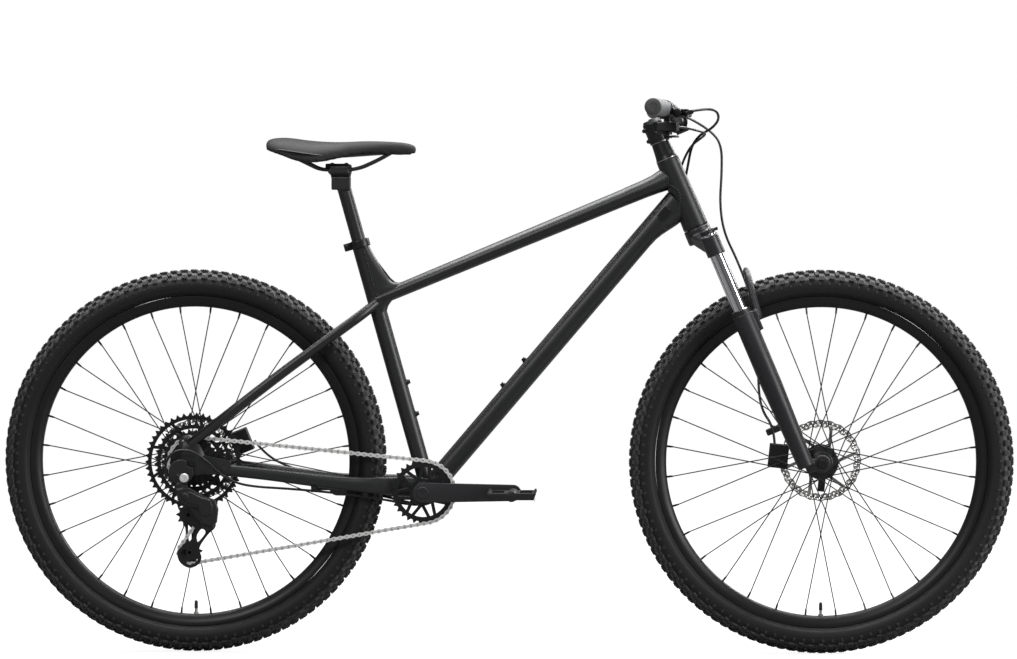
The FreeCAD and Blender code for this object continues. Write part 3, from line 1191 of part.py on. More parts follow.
def seat():
    length = "post_reach + 180"
    post = rod("post_tube", "seat_post_radius", length, POST_TOP - SEAT_UP * (size.post_reach + 180), SEAT_UP)
    head = POST_TOP + SEAT_UP * 12 + Vector(-6, 0, 0)
    clamp = block("post_head", "36", "34", "26", POST_TOP + SEAT_UP * 11 + Vector(-3, 0, 0))
    rail_z = head.z + size.rail_lift
    yoke_low = block("yoke_low", "40", "56", "8", Vector(head.x, 0, rail_z - 3.5))
    bolts = [rod("yoke_bolt_%d" % index, "3", "30", Vector(head.x + shift, 0, rail_z - 16), UP)
             for index, shift in enumerate((-14, 14))]
    rails_room = [rod("rail_room_%d_%d" % (side, 0), "rail_radius + bearing_gap", "60",
                      Vector(head.x - 30, side * size.rail_spacing, rail_z), Vector(1, 0, 0)) for side in (1, -1)]
    yoke_high = block("yoke_high", "34", "56", "6", Vector(head.x, 0, rail_z + 4.5))
    node("seatpost", cut("post_cut", fuse("post_form", [post, clamp, yoke_low, yoke_high] + bolts), rails_room))
    rails = []
    for side in (1, -1):
        y = side * size.rail_spacing
        points = [Vector(head.x - 88, side * 40, rail_z + 26), Vector(head.x - 62, side * 30, rail_z + 13),
                  Vector(head.x - 36, y, rail_z), Vector(head.x + 34, y, rail_z),
                  Vector(head.x + 76, side * 15, rail_z + 19), Vector(head.x + 108, side * 9, rail_z + 37)]
        rails.append(swept("rail_%d" % side, points, size.rail_radius, size.rail_radius, UP))
    saddle(head, rail_z, rails)


def saddle(head, rail_z, rails):
    """A plain closed form: a stiff base under a padded top, lofted through four upright sections."""
    tail = head.x - 139
    rows = [(0, 40, 52, 14), (14, 58, 60, 26), (48, 75, 63, 36), (115, 58, 56, 38), (190, 27, 55, 33),
            (262, 18, 58, 30), (286, 9, 50, 16)]
    stretch = size.saddle_length / 286
    broad = size.saddle_width / 150

    def ring(row, inset, lift, thick):
        along, half, top, depth = row
        z = rail_z + top - lift
        spots = []
        for turn in range(12):
            angle = 2 * math.pi * turn / 12
            spots.append(Vector(tail + along * stretch, (half * broad - inset) * math.cos(angle),
                                z - thick(depth) / 2 + thick(depth) / 2 * math.sin(angle)))
        curve = Part.BSplineCurve()
        curve.interpolate(Points=spots, PeriodicFlag=True)
        return Part.Wire([curve.toShape()])

    cover = Part.makeLoft([ring(row, 0, 0, lambda depth: depth * 0.62) for row in rows], True, False)
    base = Part.makeLoft([ring(row, 4, row[3] * 0.62 + 0.3, lambda depth: depth * 0.24) for row in rows],
                         True, False)
    node("saddle_cover", fixed("saddle_pad", cover))
    sleeves = [label(fixed("rail_space_%d" % index, rail.Shape), "") for index, rail in enumerate(rails)]
    shell = cut("saddle_shell_cut", fixed("saddle_shell", base), sleeves)
    node("saddle_frame", group("saddle_frame_set", rails + [shell]))


seat()


# ---------------------------------------------------------------- hoses and cables

def hoses():
    radius = size.hose_radius
    left_spot, left_in = along_bar(1, size.grip_length + 18 + 52)
    right_spot, right_in = along_bar(-1, size.grip_length + 18 + 52)
    ahead = Vector(24, 0, -9)
    left_start = left_spot + ahead + left_in * 3
    right_start = right_spot + ahead + right_in * 3
    caliper_top = FRONT_CALIPER + FRONT_CALIPER_TURN.multVec(Vector(10, 0, -23.5))
    front = [left_start, left_start + left_in * 40 + Vector(6, 0, -2), Vector(398, 140, 1012),
             Vector(416, 122, 985), Vector(416, 112, 930), Vector(412, 106, 872), Vector(420, 102, 815),
             Vector(446, 97, 762), Vector(468, 94, 705), Vector(486, 93, 646), Vector(490, 91, 585),
             Vector(487, 84, 524), Vector(493, 62, 470), caliper_top + Vector(-2, 3, 32), caliper_top]
    node("front_brake_hose", hose("front_hose", front, radius))
    rear = [right_start, right_start + right_in * 40 + Vector(8, 0, 6), Vector(400, -120, 1048),
            Vector(410, -85, 1035), Vector(396, -48, 1018), Vector(372, -10, 1006), Vector(356, 22, 984),
            Vector(349, 38, 944), Vector(341, 38, 905), PORT_LEFT + DOWN_AXIS * 26 + LEFT * 5, PORT_LEFT]
    rear_loop = hose("rear_hose", rear, radius)
    shift_spot, shift_in = along_bar(-1, size.grip_length + 44 + 30)
    shift_start = shift_spot + Vector(8, 0, -34)
    cable = [shift_start, shift_start + shift_in * 30 + Vector(8, 0, 2), Vector(372, -104, 1012),
             Vector(384, -60, 1008), Vector(376, -16, 1000), Vector(356, 18, 986), Vector(340, 30, 956),
             Vector(330, 32, 922), PORT_HIGH + DOWN_AXIS * 26 + LEFT * 2, PORT_HIGH]
    node("bar_hoses", group("bar_hose_pair", [rear_loop, hose("shift_front", cable, radius - 0.25)]))


def stay_hoses():
    """The shift housing along the right chainstay, and the rear brake hose along the left one."""
    root = DOWN_START + DOWN_AXIS * 70 - DOWN_UP * 23.4
    bend = DOWN_START + DOWN_AXIS * 22 - DOWN_UP * 28
    under = BOTTOM_BRACKET - UP * 29
    housing = [root - LEFT * 12, bend - LEFT * 13, under + Vector(20, -15, 6), under + Vector(-19, -20, 0),
               under + Vector(-70, -33, 12), under + Vector(-138, -46, 23), REAR_AXLE + Vector(234, -53, -55),
               REAR_AXLE + Vector(178, -61, -50), REAR_AXLE + Vector(123, -74, -46),
               REAR_AXLE + Vector(86, -87, -38), REAR_AXLE + Vector(55, -94, -20),
               REAR_AXLE + Vector(28, -98, 8), REAR_AXLE + Vector(0, -99, 26),
               REAR_AXLE + Vector(-32, -99, 26), REAR_AXLE + Vector(-52, -98, 0),
               REAR_AXLE + Vector(-48, -94, -28)]
    brake = [root + LEFT * 12, bend + LEFT * 13, under + Vector(20, 15, 6), under + Vector(-19, 20, 0),
             under + Vector(-70, 33, 12), under + Vector(-138, 50, 26), REAR_AXLE + Vector(234, 63, -34),
             REAR_AXLE + Vector(178, 71, -18), REAR_AXLE + Vector(130, 72, 6), REAR_HOSE_END]
    node("stay_hoses", group("stay_hose_pair", [hose("shift_housing", housing, size.hose_radius - 0.25),
                                                hose("rear_brake_tail", brake, size.hose_radius)]))


def fittings():
    """The port where the lines enter the down tube, the housing guides, and the bottle bosses."""
    ports = [block("cable_port_" + name, "24", "10", "15", DOWN_END - DOWN_AXIS * 52 + LEFT * (side * 22),
                   Rotation(DOWN_AXIS, LEFT, DOWN_UP, "XZY")) for name, side in (("left", 1), ("right", -1))]
    trimmed = cut("cable_ports_cut", group("cable_ports", ports), [down_tube_copy("down_room_port")])
    clips = []
    for name, spot in (("front", Vector(-274, -42, 311)), ("rear", Vector(-374, -54, 321))):
        clips.append(block("housing_clip_" + name, "10", "8", "13", spot))
    stay = label(fixed("chainstay_room_clips", doc.getObject("chainstay_form_right").Shape), "")
    line = label(fixed("housing_room_clips", doc.getObject("shift_housing").Shape), "")
    seated = cut("clips_seated", group("clips", clips), [stay, line])
    node("frame_fittings", group("fitting_set", FITTINGS + [trimmed, seated]))


PORT_LEFT = DOWN_END - DOWN_AXIS * 39.7 + LEFT * 27 - DOWN_UP * 3.5
PORT_HIGH = DOWN_END - DOWN_AXIS * 39.7 + LEFT * 27 + DOWN_UP * 3.5
REAR_HOSE_END = REAR_CALIPER + REAR_CALIPER_TURN.multVec(Vector(24, 8, -8))
hoses()
stay_hoses()
fittings()


def finish():
    doc.recompute()
    for made in doc.Objects:
        if "Invalid" in made.State or "Error" in made.State:
            raise SystemExit("%s failed: %s" % (made.Name, made.State))
    for name, made in nodes.items():
        if made.Shape.isNull() or not made.Shape.isValid():
            raise SystemExit("%s has no valid shape" % name)
    os.makedirs("parts", exist_ok=True)
    for name, made in nodes.items():
        made.Shape.exportStep("parts/%s.step" % name)
    print("%d nodes" % len(nodes))


finish()
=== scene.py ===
import json
import math

import bmesh
import bpy
from mathutils import Matrix, Vector
from mathutils.bvhtree import BVHTree


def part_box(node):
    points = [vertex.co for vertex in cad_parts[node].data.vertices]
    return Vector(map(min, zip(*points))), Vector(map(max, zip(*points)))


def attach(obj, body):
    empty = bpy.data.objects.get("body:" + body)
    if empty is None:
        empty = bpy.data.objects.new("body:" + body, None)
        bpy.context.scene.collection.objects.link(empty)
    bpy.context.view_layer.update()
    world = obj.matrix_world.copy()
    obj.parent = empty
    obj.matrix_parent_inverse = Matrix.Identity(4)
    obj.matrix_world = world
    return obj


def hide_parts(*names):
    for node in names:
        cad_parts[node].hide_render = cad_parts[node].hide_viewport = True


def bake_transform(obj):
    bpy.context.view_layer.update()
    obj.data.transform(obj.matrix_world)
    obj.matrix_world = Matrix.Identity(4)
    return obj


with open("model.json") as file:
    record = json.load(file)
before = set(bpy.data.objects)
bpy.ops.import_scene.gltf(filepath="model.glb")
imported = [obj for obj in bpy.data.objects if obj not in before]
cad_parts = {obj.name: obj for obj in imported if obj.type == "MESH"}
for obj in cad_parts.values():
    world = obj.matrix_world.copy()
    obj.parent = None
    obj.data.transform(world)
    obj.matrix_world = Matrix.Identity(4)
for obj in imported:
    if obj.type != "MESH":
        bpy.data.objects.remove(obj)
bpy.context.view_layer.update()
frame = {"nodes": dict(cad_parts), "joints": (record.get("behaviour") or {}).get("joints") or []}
print("stage: frame loaded")


def middle(node):
    low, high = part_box(node)
    return (Vector(low) + Vector(high)) / 2


frontAxle = middle("front_tyre")
rearAxle = middle("rear_tyre")
crankAxis = middle("chainring")
tyreRadius = (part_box("front_tyre")[1][2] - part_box("front_tyre")[0][2]) / 2
up = Vector((0, 0, 1))
left = Vector((0, 1, 0))
jointNamed = {joint["name"]: joint for joint in frame["joints"]}
steerUp = Vector(jointNamed["steering_turn"]["axis"])
steerFoot = Vector(jointNamed["steering_turn"]["pos_m"])
steerAhead = left.cross(steerUp)
if steerAhead.x < 0:
    steerAhead = -steerAhead


# ways to make meshes

def finishMesh(name, bm, material, smoothAngle=35):
    mesh = bpy.data.meshes.new(name)
    bmesh.ops.recalc_face_normals(bm, faces=bm.faces)
    bm.to_mesh(mesh)
    bm.free()
    piece = bpy.data.objects.new(name, mesh)
    bpy.context.collection.objects.link(piece)
    mesh.materials.append(material)
    mesh.shade_smooth()
    if smoothAngle < 180:
        mesh.set_sharp_from_angle(angle=math.radians(smoothAngle))
    return piece


def useModifier(piece, kind, **settings):
    modifier = piece.modifiers.new(kind.title(), kind)
    for key, value in settings.items():
        setattr(modifier, key, value)
    depsgraph = bpy.context.evaluated_depsgraph_get()
    mesh = bpy.data.meshes.new_from_object(piece.evaluated_get(depsgraph))
    piece.modifiers.clear()
    old = piece.data
    piece.data = mesh
    bpy.data.meshes.remove(old)
    return piece


def lathe(bm, outline, centre, axis="Y", segments=96, closed=True):
    # outline is pairs of radius and distance along the axis
    rings = []
    for step in range(segments):
        angle = 2 * math.pi * step / segments
        ring = []
        for radius, along in outline:
            across = (radius * math.cos(angle), radius * math.sin(angle))
            spot = (across[0], along, across[1]) if axis == "Y" else (across[0], across[1], along)
            ring.append(bm.verts.new(Vector(spot) + centre))
        rings.append(ring)
    count = len(outline)
    for step in range(segments):
        here, there = rings[step], rings[(step + 1) % segments]
        for index in range(count if closed else count - 1):
            after = (index + 1) % count
            bm.faces.new((here[index], here[after], there[after], there[index]))
    return rings


def loft(bm, rows, count=44, power=2.0):
    # each row gives centre, sideways, upward, half width, depth above and depth below
    rings = []
    for centre, sideways, upward, half, above, below in rows:
        ring = []
        for step in range(count):
            spot = sectionPoint(2 * math.pi * step / count, half, above, below, power)
            ring.append(bm.verts.new(centre + sideways * spot[0] + upward * spot[1]))
        rings.append(ring)
    for here, there in zip(rings, rings[1:]):
        for step in range(count):
            after = (step + 1) % count
            bm.faces.new((here[step], here[after], there[after], there[step]))
    bm.faces.new(list(reversed(rings[0])))
    bm.faces.new(rings[-1])


def sectionPoint(angle, half, above, below, power):
    across = math.copysign(abs(math.cos(angle)) ** (2 / power), math.cos(angle)) * half
    lift = math.copysign(abs(math.sin(angle)) ** (2 / power), math.sin(angle))
    return across, lift * (above if lift > 0 else below)


def plate(bm, loops, near, far):
    # an upright plate between two sideways distances; the first loop is its edge, the others its windows
    start = len(bm.verts)
    edges = []
    for loop in loops:
        ring = [bm.verts.new((x, near, z)) for x, z in loop]
        edges += [bm.edges.new((ring[index], ring[(index + 1) % len(ring)])) for index in range(len(ring))]
    made = bmesh.ops.triangle_fill(bm, use_beauty=True, edges=edges)
    faces = [item for item in made["geom"] if isinstance(item, bmesh.types.BMFace)]
    moved = bmesh.ops.extrude_face_region(bm, geom=faces, use_keep_orig=True)
    for item in moved["geom"]:
        if isinstance(item, bmesh.types.BMVert):
            item.co.y = far
    return start


def ringLoop(centre, radius, count=32, phase=0.0):
    return [(centre.x + radius * math.cos(phase + 2 * math.pi * step / count),
             centre.z + radius * math.sin(phase + 2 * math.pi * step / count)) for step in range(count)]


def softLoop(corners, steps=5):
    # a closed curve through the corners, given in metres as pairs of x and z
    count = len(corners)
    spots = []
    for index in range(count):
        before, here, there, beyond = [Vector(corners[(index + shift) % count]) for shift in (-1, 0, 1, 2)]
        for step in range(steps):
            t = step / steps
            spot = 0.5 * (2 * here + (there - before) * t + (2 * before - 5 * here + 4 * there - beyond) * t ** 2
                          + (3 * here - before - 3 * there + beyond) * t ** 3)
            spots.append(tuple(spot))
    return spots


def smoothPath(points, steps=10):
    # a curve through all the points
    points = [Vector(point) for point in points]
    padded = [points[0] * 2 - points[1]] + points + [points[-1] * 2 - points[-2]]
    spots = []
    for index in range(1, len(padded) - 2):
        before, here, there, beyond = padded[index - 1:index + 3]
        for step in range(steps):
            t = step / steps
            spots.append(0.5 * (2 * here + (there - before) * t + (2 * before - 5 * here + 4 * there - beyond) * t ** 2
                                + (3 * here - before - 3 * there + beyond) * t ** 3))
    return spots + [points[-1]]


def box(bm, centre, size, turn=None, taper=1.0, chamfer=0.0):
    # a block whose top may be smaller than its foot
    turn = turn or Matrix.Identity(3)
    corners = []
    for z in (-0.5, 0.5):
        scale = taper if z > 0 else 1.0
        for x, y in ((-0.5, -0.5), (0.5, -0.5), (0.5, 0.5), (-0.5, 0.5)):
            local = Vector((x * size[0] * scale, y * size[1] * scale, z * size[2]))
            corners.append(bm.verts.new(Vector(centre) + turn @ local))
    faces = [(3, 2, 1, 0), (4, 5, 6, 7)] + [(i, (i + 1) % 4, 4 + (i + 1) % 4, 4 + i) for i in range(4)]
    made = [bm.faces.new([corners[i] for i in face]) for face in faces]
    if chamfer:
        edges = {edge for face in made for edge in face.edges}
        bmesh.ops.bevel(bm, geom=list(edges), offset=chamfer, segments=1, affect="EDGES")
    return corners


def rod(bm, start, end, radius, endRadius=None, segments=12):
    axis = Vector(end) - Vector(start)
    turn = axis.to_track_quat("Z", "Y").to_matrix()
    rings = []
    for at, size in ((start, radius), (end, radius if endRadius is None else endRadius)):
        rings.append([bm.verts.new(Vector(at) + turn @ Vector((size * math.cos(2 * math.pi * i / segments),
                                                               size * math.sin(2 * math.pi * i / segments), 0)))
                      for i in range(segments)])
    for i in range(segments):
        after = (i + 1) % segments
        bm.faces.new((rings[0][i], rings[0][after], rings[1][after], rings[1][i]))
    bm.faces.new(list(reversed(rings[0])))
    bm.faces.new(rings[1])


def cadCopy(node, name, material):
    # a fresh mesh with the node's own shape, for rounding off
    source = frame["nodes"][node]
    bm = bmesh.new()
    bm.from_mesh(source.data)
    bmesh.ops.remove_doubles(bm, verts=bm.verts, dist=1e-6)
    return finishMesh(name, bm, material)


def rounded(node, body, material, width=0.0008, segments=2):
    # moulded and machined pieces have small radii on their edges
    piece = cadCopy(node, "round_" + node, material)
    useModifier(piece, "BEVEL", width=width, segments=segments, limit_method="ANGLE",
                angle_limit=math.radians(32), harden_normals=False)
    piece.data.shade_smooth()
    piece.data.set_sharp_from_angle(angle=math.radians(40))
    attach(piece, body)
    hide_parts(node)
    return piece


def cast(node, body, material, voxel=0.0012, rounds=8, keep=0.35):
    # cast and forged pieces flow into each other, so the form is remeshed and relaxed
    piece = cadCopy(node, "cast_" + node, material)
    useModifier(piece, "REMESH", mode="VOXEL", voxel_size=voxel, use_smooth_shade=True)
    useModifier(piece, "SMOOTH", factor=0.5, iterations=rounds)
    if keep < 1:
        useModifier(piece, "DECIMATE", ratio=keep)
    piece.data.shade_smooth()
    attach(piece, body)
    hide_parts(node)
    return piece


# finishes

def grainGroup():
    # fine grain for finishes: gives a colour mask, a roughness value and a bump height
    group = bpy.data.node_groups.new("fineGrain", "ShaderNodeTree")
    group.interface.new_socket("Scale", in_out="INPUT", socket_type="NodeSocketFloat")
    group.interface.new_socket("Detail", in_out="INPUT", socket_type="NodeSocketFloat")
    group.interface.new_socket("Mask", in_out="OUTPUT", socket_type="NodeSocketFloat")
    group.interface.new_socket("Fine", in_out="OUTPUT", socket_type="NodeSocketFloat")
    nodes = group.nodes
    entry = nodes.new("NodeGroupInput")
    leave = nodes.new("NodeGroupOutput")
    place = nodes.new("ShaderNodeTexCoord")
    broad = nodes.new("ShaderNodeTexNoise")
    broad.inputs["Scale"].default_value = 9
    broad.inputs["Detail"].default_value = 5
    fine = nodes.new("ShaderNodeTexNoise")
    links = group.links
    links.new(place.outputs["Object"], broad.inputs["Vector"])
    links.new(place.outputs["Object"], fine.inputs["Vector"])
    links.new(entry.outputs["Scale"], fine.inputs["Scale"])
    links.new(entry.outputs["Detail"], fine.inputs["Detail"])
    links.new(broad.outputs["Fac"], leave.inputs["Mask"])
    links.new(fine.outputs["Fac"], leave.inputs["Fine"])
    return group


fineGrain = grainGroup()


def finish(name, colour, second=None, metal=0.0, rough=0.5, roughSpread=0.1, grain=900, detail=4,
           bump=0.1, bumpDepth=0.0001, coat=0.0, coatRough=0.2, sheen=0.0, speckle=0.0, specular=0.5):
    material = bpy.data.materials.new(name)
    material.use_nodes = True
    nodes = material.node_tree.nodes
    links = material.node_tree.links
    shader = nodes["Principled BSDF"]
    shader.inputs["Metallic"].default_value = metal
    shader.inputs["Coat Weight"].default_value = coat
    shader.inputs["Coat Roughness"].default_value = coatRough
    shader.inputs["Sheen Weight"].default_value = sheen
    shader.inputs["Specular IOR Level"].default_value = specular
    texture = nodes.new("ShaderNodeGroup")
    texture.node_tree = fineGrain
    texture.inputs["Scale"].default_value = grain
    texture.inputs["Detail"].default_value = detail
    mix = nodes.new("ShaderNodeMix")
    mix.data_type = "RGBA"
    mix.inputs["A"].default_value = (*colour, 1)
    mix.inputs["B"].default_value = (*(second or [min(1, c * 1.35 + 0.004) for c in colour]), 1)
    blend = nodes.new("ShaderNodeMath")
    blend.operation = "MULTIPLY_ADD"
    blend.inputs[1].default_value = speckle
    links.new(texture.outputs["Fine"], blend.inputs[0])
    links.new(texture.outputs["Mask"], blend.inputs[2])
    links.new(blend.outputs[0], mix.inputs["Factor"])
    links.new(mix.outputs["Result"], shader.inputs["Base Color"])
    spread = nodes.new("ShaderNodeMapRange")
    spread.inputs["To Min"].default_value = max(0.02, rough - roughSpread)
    spread.inputs["To Max"].default_value = min(1, rough + roughSpread)
    links.new(texture.outputs["Mask"], spread.inputs["Value"])
    links.new(spread.outputs["Result"], shader.inputs["Roughness"])
    relief = nodes.new("ShaderNodeBump")
    relief.inputs["Strength"].default_value = bump
    relief.inputs["Distance"].default_value = bumpDepth
    links.new(texture.outputs["Fine"], relief.inputs["Height"])
    links.new(relief.outputs["Normal"], shader.inputs["Normal"])
    return material


paint = finish("satinPaint", (0.0075, 0.0079, 0.0088), (0.0120, 0.0126, 0.0140), rough=0.42, roughSpread=0.05,
               grain=900, bump=0.01, coat=0.15, coatRough=0.34, speckle=0.1, specular=0.5)
charcoal = finish("charcoalPaint", (0.0115, 0.0115, 0.0135), (0.018, 0.018, 0.0205), rough=0.38,
                  roughSpread=0.05, grain=2400, bump=0.12, coat=0.12, coatRough=0.3, speckle=0.35)
forkPaint = finish("forkPaint", (0.0115, 0.0112, 0.0132), (0.0185, 0.0182, 0.021), rough=0.45, grain=2200,
                   bump=0.18, speckle=0.35, specular=0.42)
anodised = finish("blackAnodised", (0.0065, 0.0067, 0.0076), (0.0115, 0.012, 0.013), metal=0.2, rough=0.34,
                  grain=3000, bump=0.12, speckle=0.4)
blackPlastic = finish("mouldedPlastic", (0.0055, 0.0055, 0.006), (0.010, 0.010, 0.011), rough=0.45,
                      grain=1800, bump=0.25, speckle=0.3)
hoseSkin = finish("hoseSkin", (0.004, 0.004, 0.0045), (0.008, 0.008, 0.0085), rough=0.35, grain=1400, bump=0.2)
chrome = finish("hardChrome", (0.68, 0.68, 0.71), (0.76, 0.76, 0.79), metal=1.0, rough=0.09, roughSpread=0.03,
                grain=4000, bump=0.03)
steel = finish("brushedSteel", (0.42, 0.41, 0.40), (0.56, 0.55, 0.54), metal=1.0, rough=0.32, grain=2200,
               bump=0.15, speckle=0.4)
chainSteel = finish("chainSteel", (0.70, 0.695, 0.69), (0.86, 0.855, 0.85), metal=0.4, rough=0.38,
                    roughSpread=0.12, grain=900, bump=0.2, speckle=0.5)
darkSteel = finish("darkPlatedSteel", (0.008, 0.008, 0.009), (0.018, 0.018, 0.019), metal=0.45, rough=0.4,
                   grain=1500, bump=0.15, speckle=0.5)
spokeSteel = finish("spokeBlack", (0.006, 0.006, 0.0065), (0.014, 0.014, 0.015), metal=0.4, rough=0.4,
                    grain=1200)
rimBlack = finish("rimAnodised", (0.0038, 0.0038, 0.0042), (0.0075, 0.0075, 0.008), metal=0.1, rough=0.42,
                  grain=1500, bump=0.15, speckle=0.3, specular=0.4)
rubberSide = finish("tyreRubber", (0.0052, 0.0052, 0.0054), (0.0105, 0.0105, 0.0105), rough=0.56,
                    roughSpread=0.1, grain=1300, detail=8, bump=0.35, bumpDepth=0.0003, speckle=0.5,
                    specular=0.32)
treadRubber = finish("treadRubber", (0.013, 0.013, 0.013), (0.03, 0.03, 0.0298), rough=0.68, roughSpread=0.1,
                     grain=900, detail=8, bump=0.5, bumpDepth=0.0004, speckle=0.6, specular=0.4)
treadGround = finish("treadGround", (0.042, 0.042, 0.0425), (0.095, 0.095, 0.094), rough=0.72, roughSpread=0.1,
                     grain=700, detail=8, bump=0.6, bumpDepth=0.0004, speckle=0.6, specular=0.4)
gripRubber = finish("gripRubber", (0.10, 0.102, 0.105), (0.17, 0.172, 0.176), rough=0.66, grain=1500, bump=0.4,
                    bumpDepth=0.0003, speckle=0.4)
capRubber = finish("endCapPlastic", (0.045, 0.045, 0.046), (0.07, 0.07, 0.071), rough=0.5, grain=1500, bump=0.2)
leather = finish("saddleSkin", (0.0072, 0.0072, 0.0082), (0.0122, 0.0122, 0.0136), rough=0.55, roughSpread=0.06,
                 grain=1500, detail=6, bump=0.4, bumpDepth=0.0003, speckle=0.4, specular=0.22)
print("stage: finishes")


# tyres: a carcass of revolution with sidewall rings, and four kinds of tread block

tyre = {"rimRadius": 0.3215, "sectionCentre": 0.341, "sectionHeight": 0.0262, "sectionHalf": 0.0285,
        "pitchCount": 116}


def tyreSection(angle):
    # a point of the carcass at an angle from the crown, as radius and sideways distance
    return (tyre["sectionCentre"] + tyre["sectionHeight"] * math.cos(angle), tyre["sectionHalf"] * math.sin(angle))


def makeTyre(name, node, centre, body):
    bm = bmesh.new()
    outline = []
    for step in range(41):
        angle = math.radians(-118 + 236 * step / 40)
        radius, across = tyreSection(angle)
        ringDepth = 0.0005 if abs(angle) > math.radians(78) and step % 2 else 0.0
        outline.append((radius, across * (1 - ringDepth / 0.03)))
    beadY = 0.0168
    outline += [(0.3265, beadY + 0.0035), (0.3225, beadY + 0.001), (tyre["rimRadius"], beadY - 0.001),
                (tyre["rimRadius"], -beadY + 0.001), (0.3225, -beadY - 0.001), (0.3265, -beadY - 0.0035)]
    lathe(bm, outline, centre, segments=232)
    carcass = finishMesh(name + "Carcass", bm, rubberSide, 180)
    carcass.data.materials.append(treadGround)
    for face in carcass.data.polygons:
        face.material_index = int((face.center - centre).xz.length > 0.3555)
    bm = bmesh.new()
    knobs = [(7.5, 0.0125, 0.0095, 0.0048, 0.0, 9), (31, 0.0095, 0.0105, 0.0046, 0.5, -14),
             (55, 0.0115, 0.0090, 0.0050, 0.0, 4)]
    for pitch in range(tyre["pitchCount"]):
        wide = pitch % 2
        for side in (-1, 1):
            for tilt, length, width, height, shift, skew in knobs:
                lean = math.radians(tilt + (2.5 if wide else -1.5)) * side
                spin = 2 * math.pi * (pitch + shift + (0.25 if side > 0 else 0)) / tyre["pitchCount"]
                radius, across = tyreSection(lean)
                outward = Vector((math.cos(spin) * math.cos(lean), math.sin(lean), math.sin(spin) * math.cos(lean)))
                along = Vector((-math.sin(spin), 0, math.cos(spin)))
                turn = Matrix((along, outward.cross(along), outward)).transposed()
                turn = turn @ Matrix.Rotation(math.radians(skew * side), 3, "Z")
                spot = Vector((radius * math.cos(spin), across, radius * math.sin(spin)))
                size = (length * (0.86 if wide else 1), width * (1.12 if wide else 0.94), height + 0.0024)
                box(bm, centre + spot + outward * (height / 2 - 0.0012), size, turn, taper=0.84)
                if tilt < 10 or tilt > 50:
                    # the sipe across each block shows as a notch between two halves
                    box(bm, centre + spot + outward * (height + 0.0002), (0.0011, size[1] * 0.86, 0.0012), turn)
            # small ribs run from each shoulder block down the sidewall
            lean = math.radians(78) * side
            radius, across = tyreSection(lean)
            spin = 2 * math.pi * (pitch + 0.2) / tyre["pitchCount"]
            outward = Vector((math.cos(spin) * math.cos(lean), math.sin(lean), math.sin(spin) * math.cos(lean)))
            along = Vector((-math.sin(spin), 0, math.cos(spin)))
            turn = Matrix((along, outward.cross(along), outward)).transposed()
            spot = Vector((radius * math.cos(spin), across, radius * math.sin(spin)))
            box(bm, centre + spot, (0.006, 0.007, 0.0026), turn, taper=0.7)
    tread = finishMesh(name + "Tread", bm, treadRubber, 30)
    for piece in (carcass, tread):
        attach(piece, body)
    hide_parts(node)
    return carcass


makeTyre("frontTyre", "front_tyre", frontAxle, "front_wheel")
makeTyre("rearTyre", "rear_tyre", rearAxle, "rear_wheel")
print("stage: tyres")


# rims with a valve, spokes with their nipples, hubs and rotors

def makeRim(name, node, centre, body):
    bm = bmesh.new()
    outer, inner, half = 0.321, 0.300, 0.0175
    outline = [(outer, half), (outer - 0.004, half + 0.0002), (outer - 0.010, half - 0.0012),
               (inner + 0.006, 0.0132), (inner + 0.0018, 0.0104), (inner, 0.0070), (inner, -0.0070),
               (inner + 0.0018, -0.0104), (inner + 0.006, -0.0132), (outer - 0.010, -half + 0.0012),
               (outer - 0.004, -half - 0.0002), (outer, -half), (outer - 0.003, -half + 0.003),
               (outer - 0.006, -0.008), (outer - 0.006, 0.008), (outer - 0.003, half - 0.003)]
    lathe(bm, outline, centre, segments=256)
    foot = centre - up * inner
    rim = finishMesh(name + "Rim", bm, rimBlack, 42)
    bm = bmesh.new()
    rod(bm, foot - up * 0.001, foot + up * 0.0035, 0.0052, 0.0046, 6)
    rod(bm, foot + up * 0.003, foot + up * 0.012, 0.0028, segments=16)
    for turn in range(6):
        rod(bm, foot + up * (0.004 + 0.0013 * turn), foot + up * (0.0046 + 0.0013 * turn), 0.0031, segments=16)
    stem = finishMesh(name + "ValveStem", bm, steel)
    bm = bmesh.new()
    rod(bm, foot + up * 0.0115, foot + up * 0.0245, 0.0036, 0.0033, 16)
    rod(bm, foot + up * 0.0245, foot + up * 0.0268, 0.0033, 0.0018, 16)
    cap = finishMesh(name + "ValveCap", bm, blackPlastic)
    for piece in (rim, stem, cap):
        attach(piece, body)
    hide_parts(node)


def makeSpokes(name, node, centre, body, leftFlange, rightFlange):
    bm = bmesh.new()
    count, cross, hole, reach = 32, math.radians(67.5), 0.029, 0.288
    nipples = bmesh.new()
    for side, flange in ((1, leftFlange), (-1, rightFlange)):
        for index in range(count // 2):
            rimAngle = 2 * math.pi * (2 * index + (0.5 if side > 0 else 1.5)) / count
            leading = 1 if index % 2 else -1
            hubAngle = rimAngle + leading * cross
            face = side * (flange + leading * 0.0026)
            foot = centre + Vector((hole * math.sin(hubAngle), face, hole * math.cos(hubAngle)))
            tip = centre + Vector((reach * math.sin(rimAngle), side * 0.005, reach * math.cos(rimAngle)))
            outward = Vector((math.sin(rimAngle), 0, math.cos(rimAngle)))
            rod(bm, foot, tip, 0.00112, segments=8)
            rod(bm, foot + left * side * leading * 0.0012, foot - left * side * leading * 0.0035, 0.0019,
                segments=8)
            rod(nipples, tip - outward * 0.0005, tip + outward * 0.0035, 0.0014, 0.0019, 8)
            rod(nipples, tip + outward * 0.0035, tip + outward * 0.0122, 0.0021, 0.0023, 6)
    spokes = finishMesh(name + "Spokes", bm, spokeSteel)
    heads = finishMesh(name + "Nipples", nipples, anodised)
    for piece in (spokes, heads):
        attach(piece, body)
    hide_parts(node)


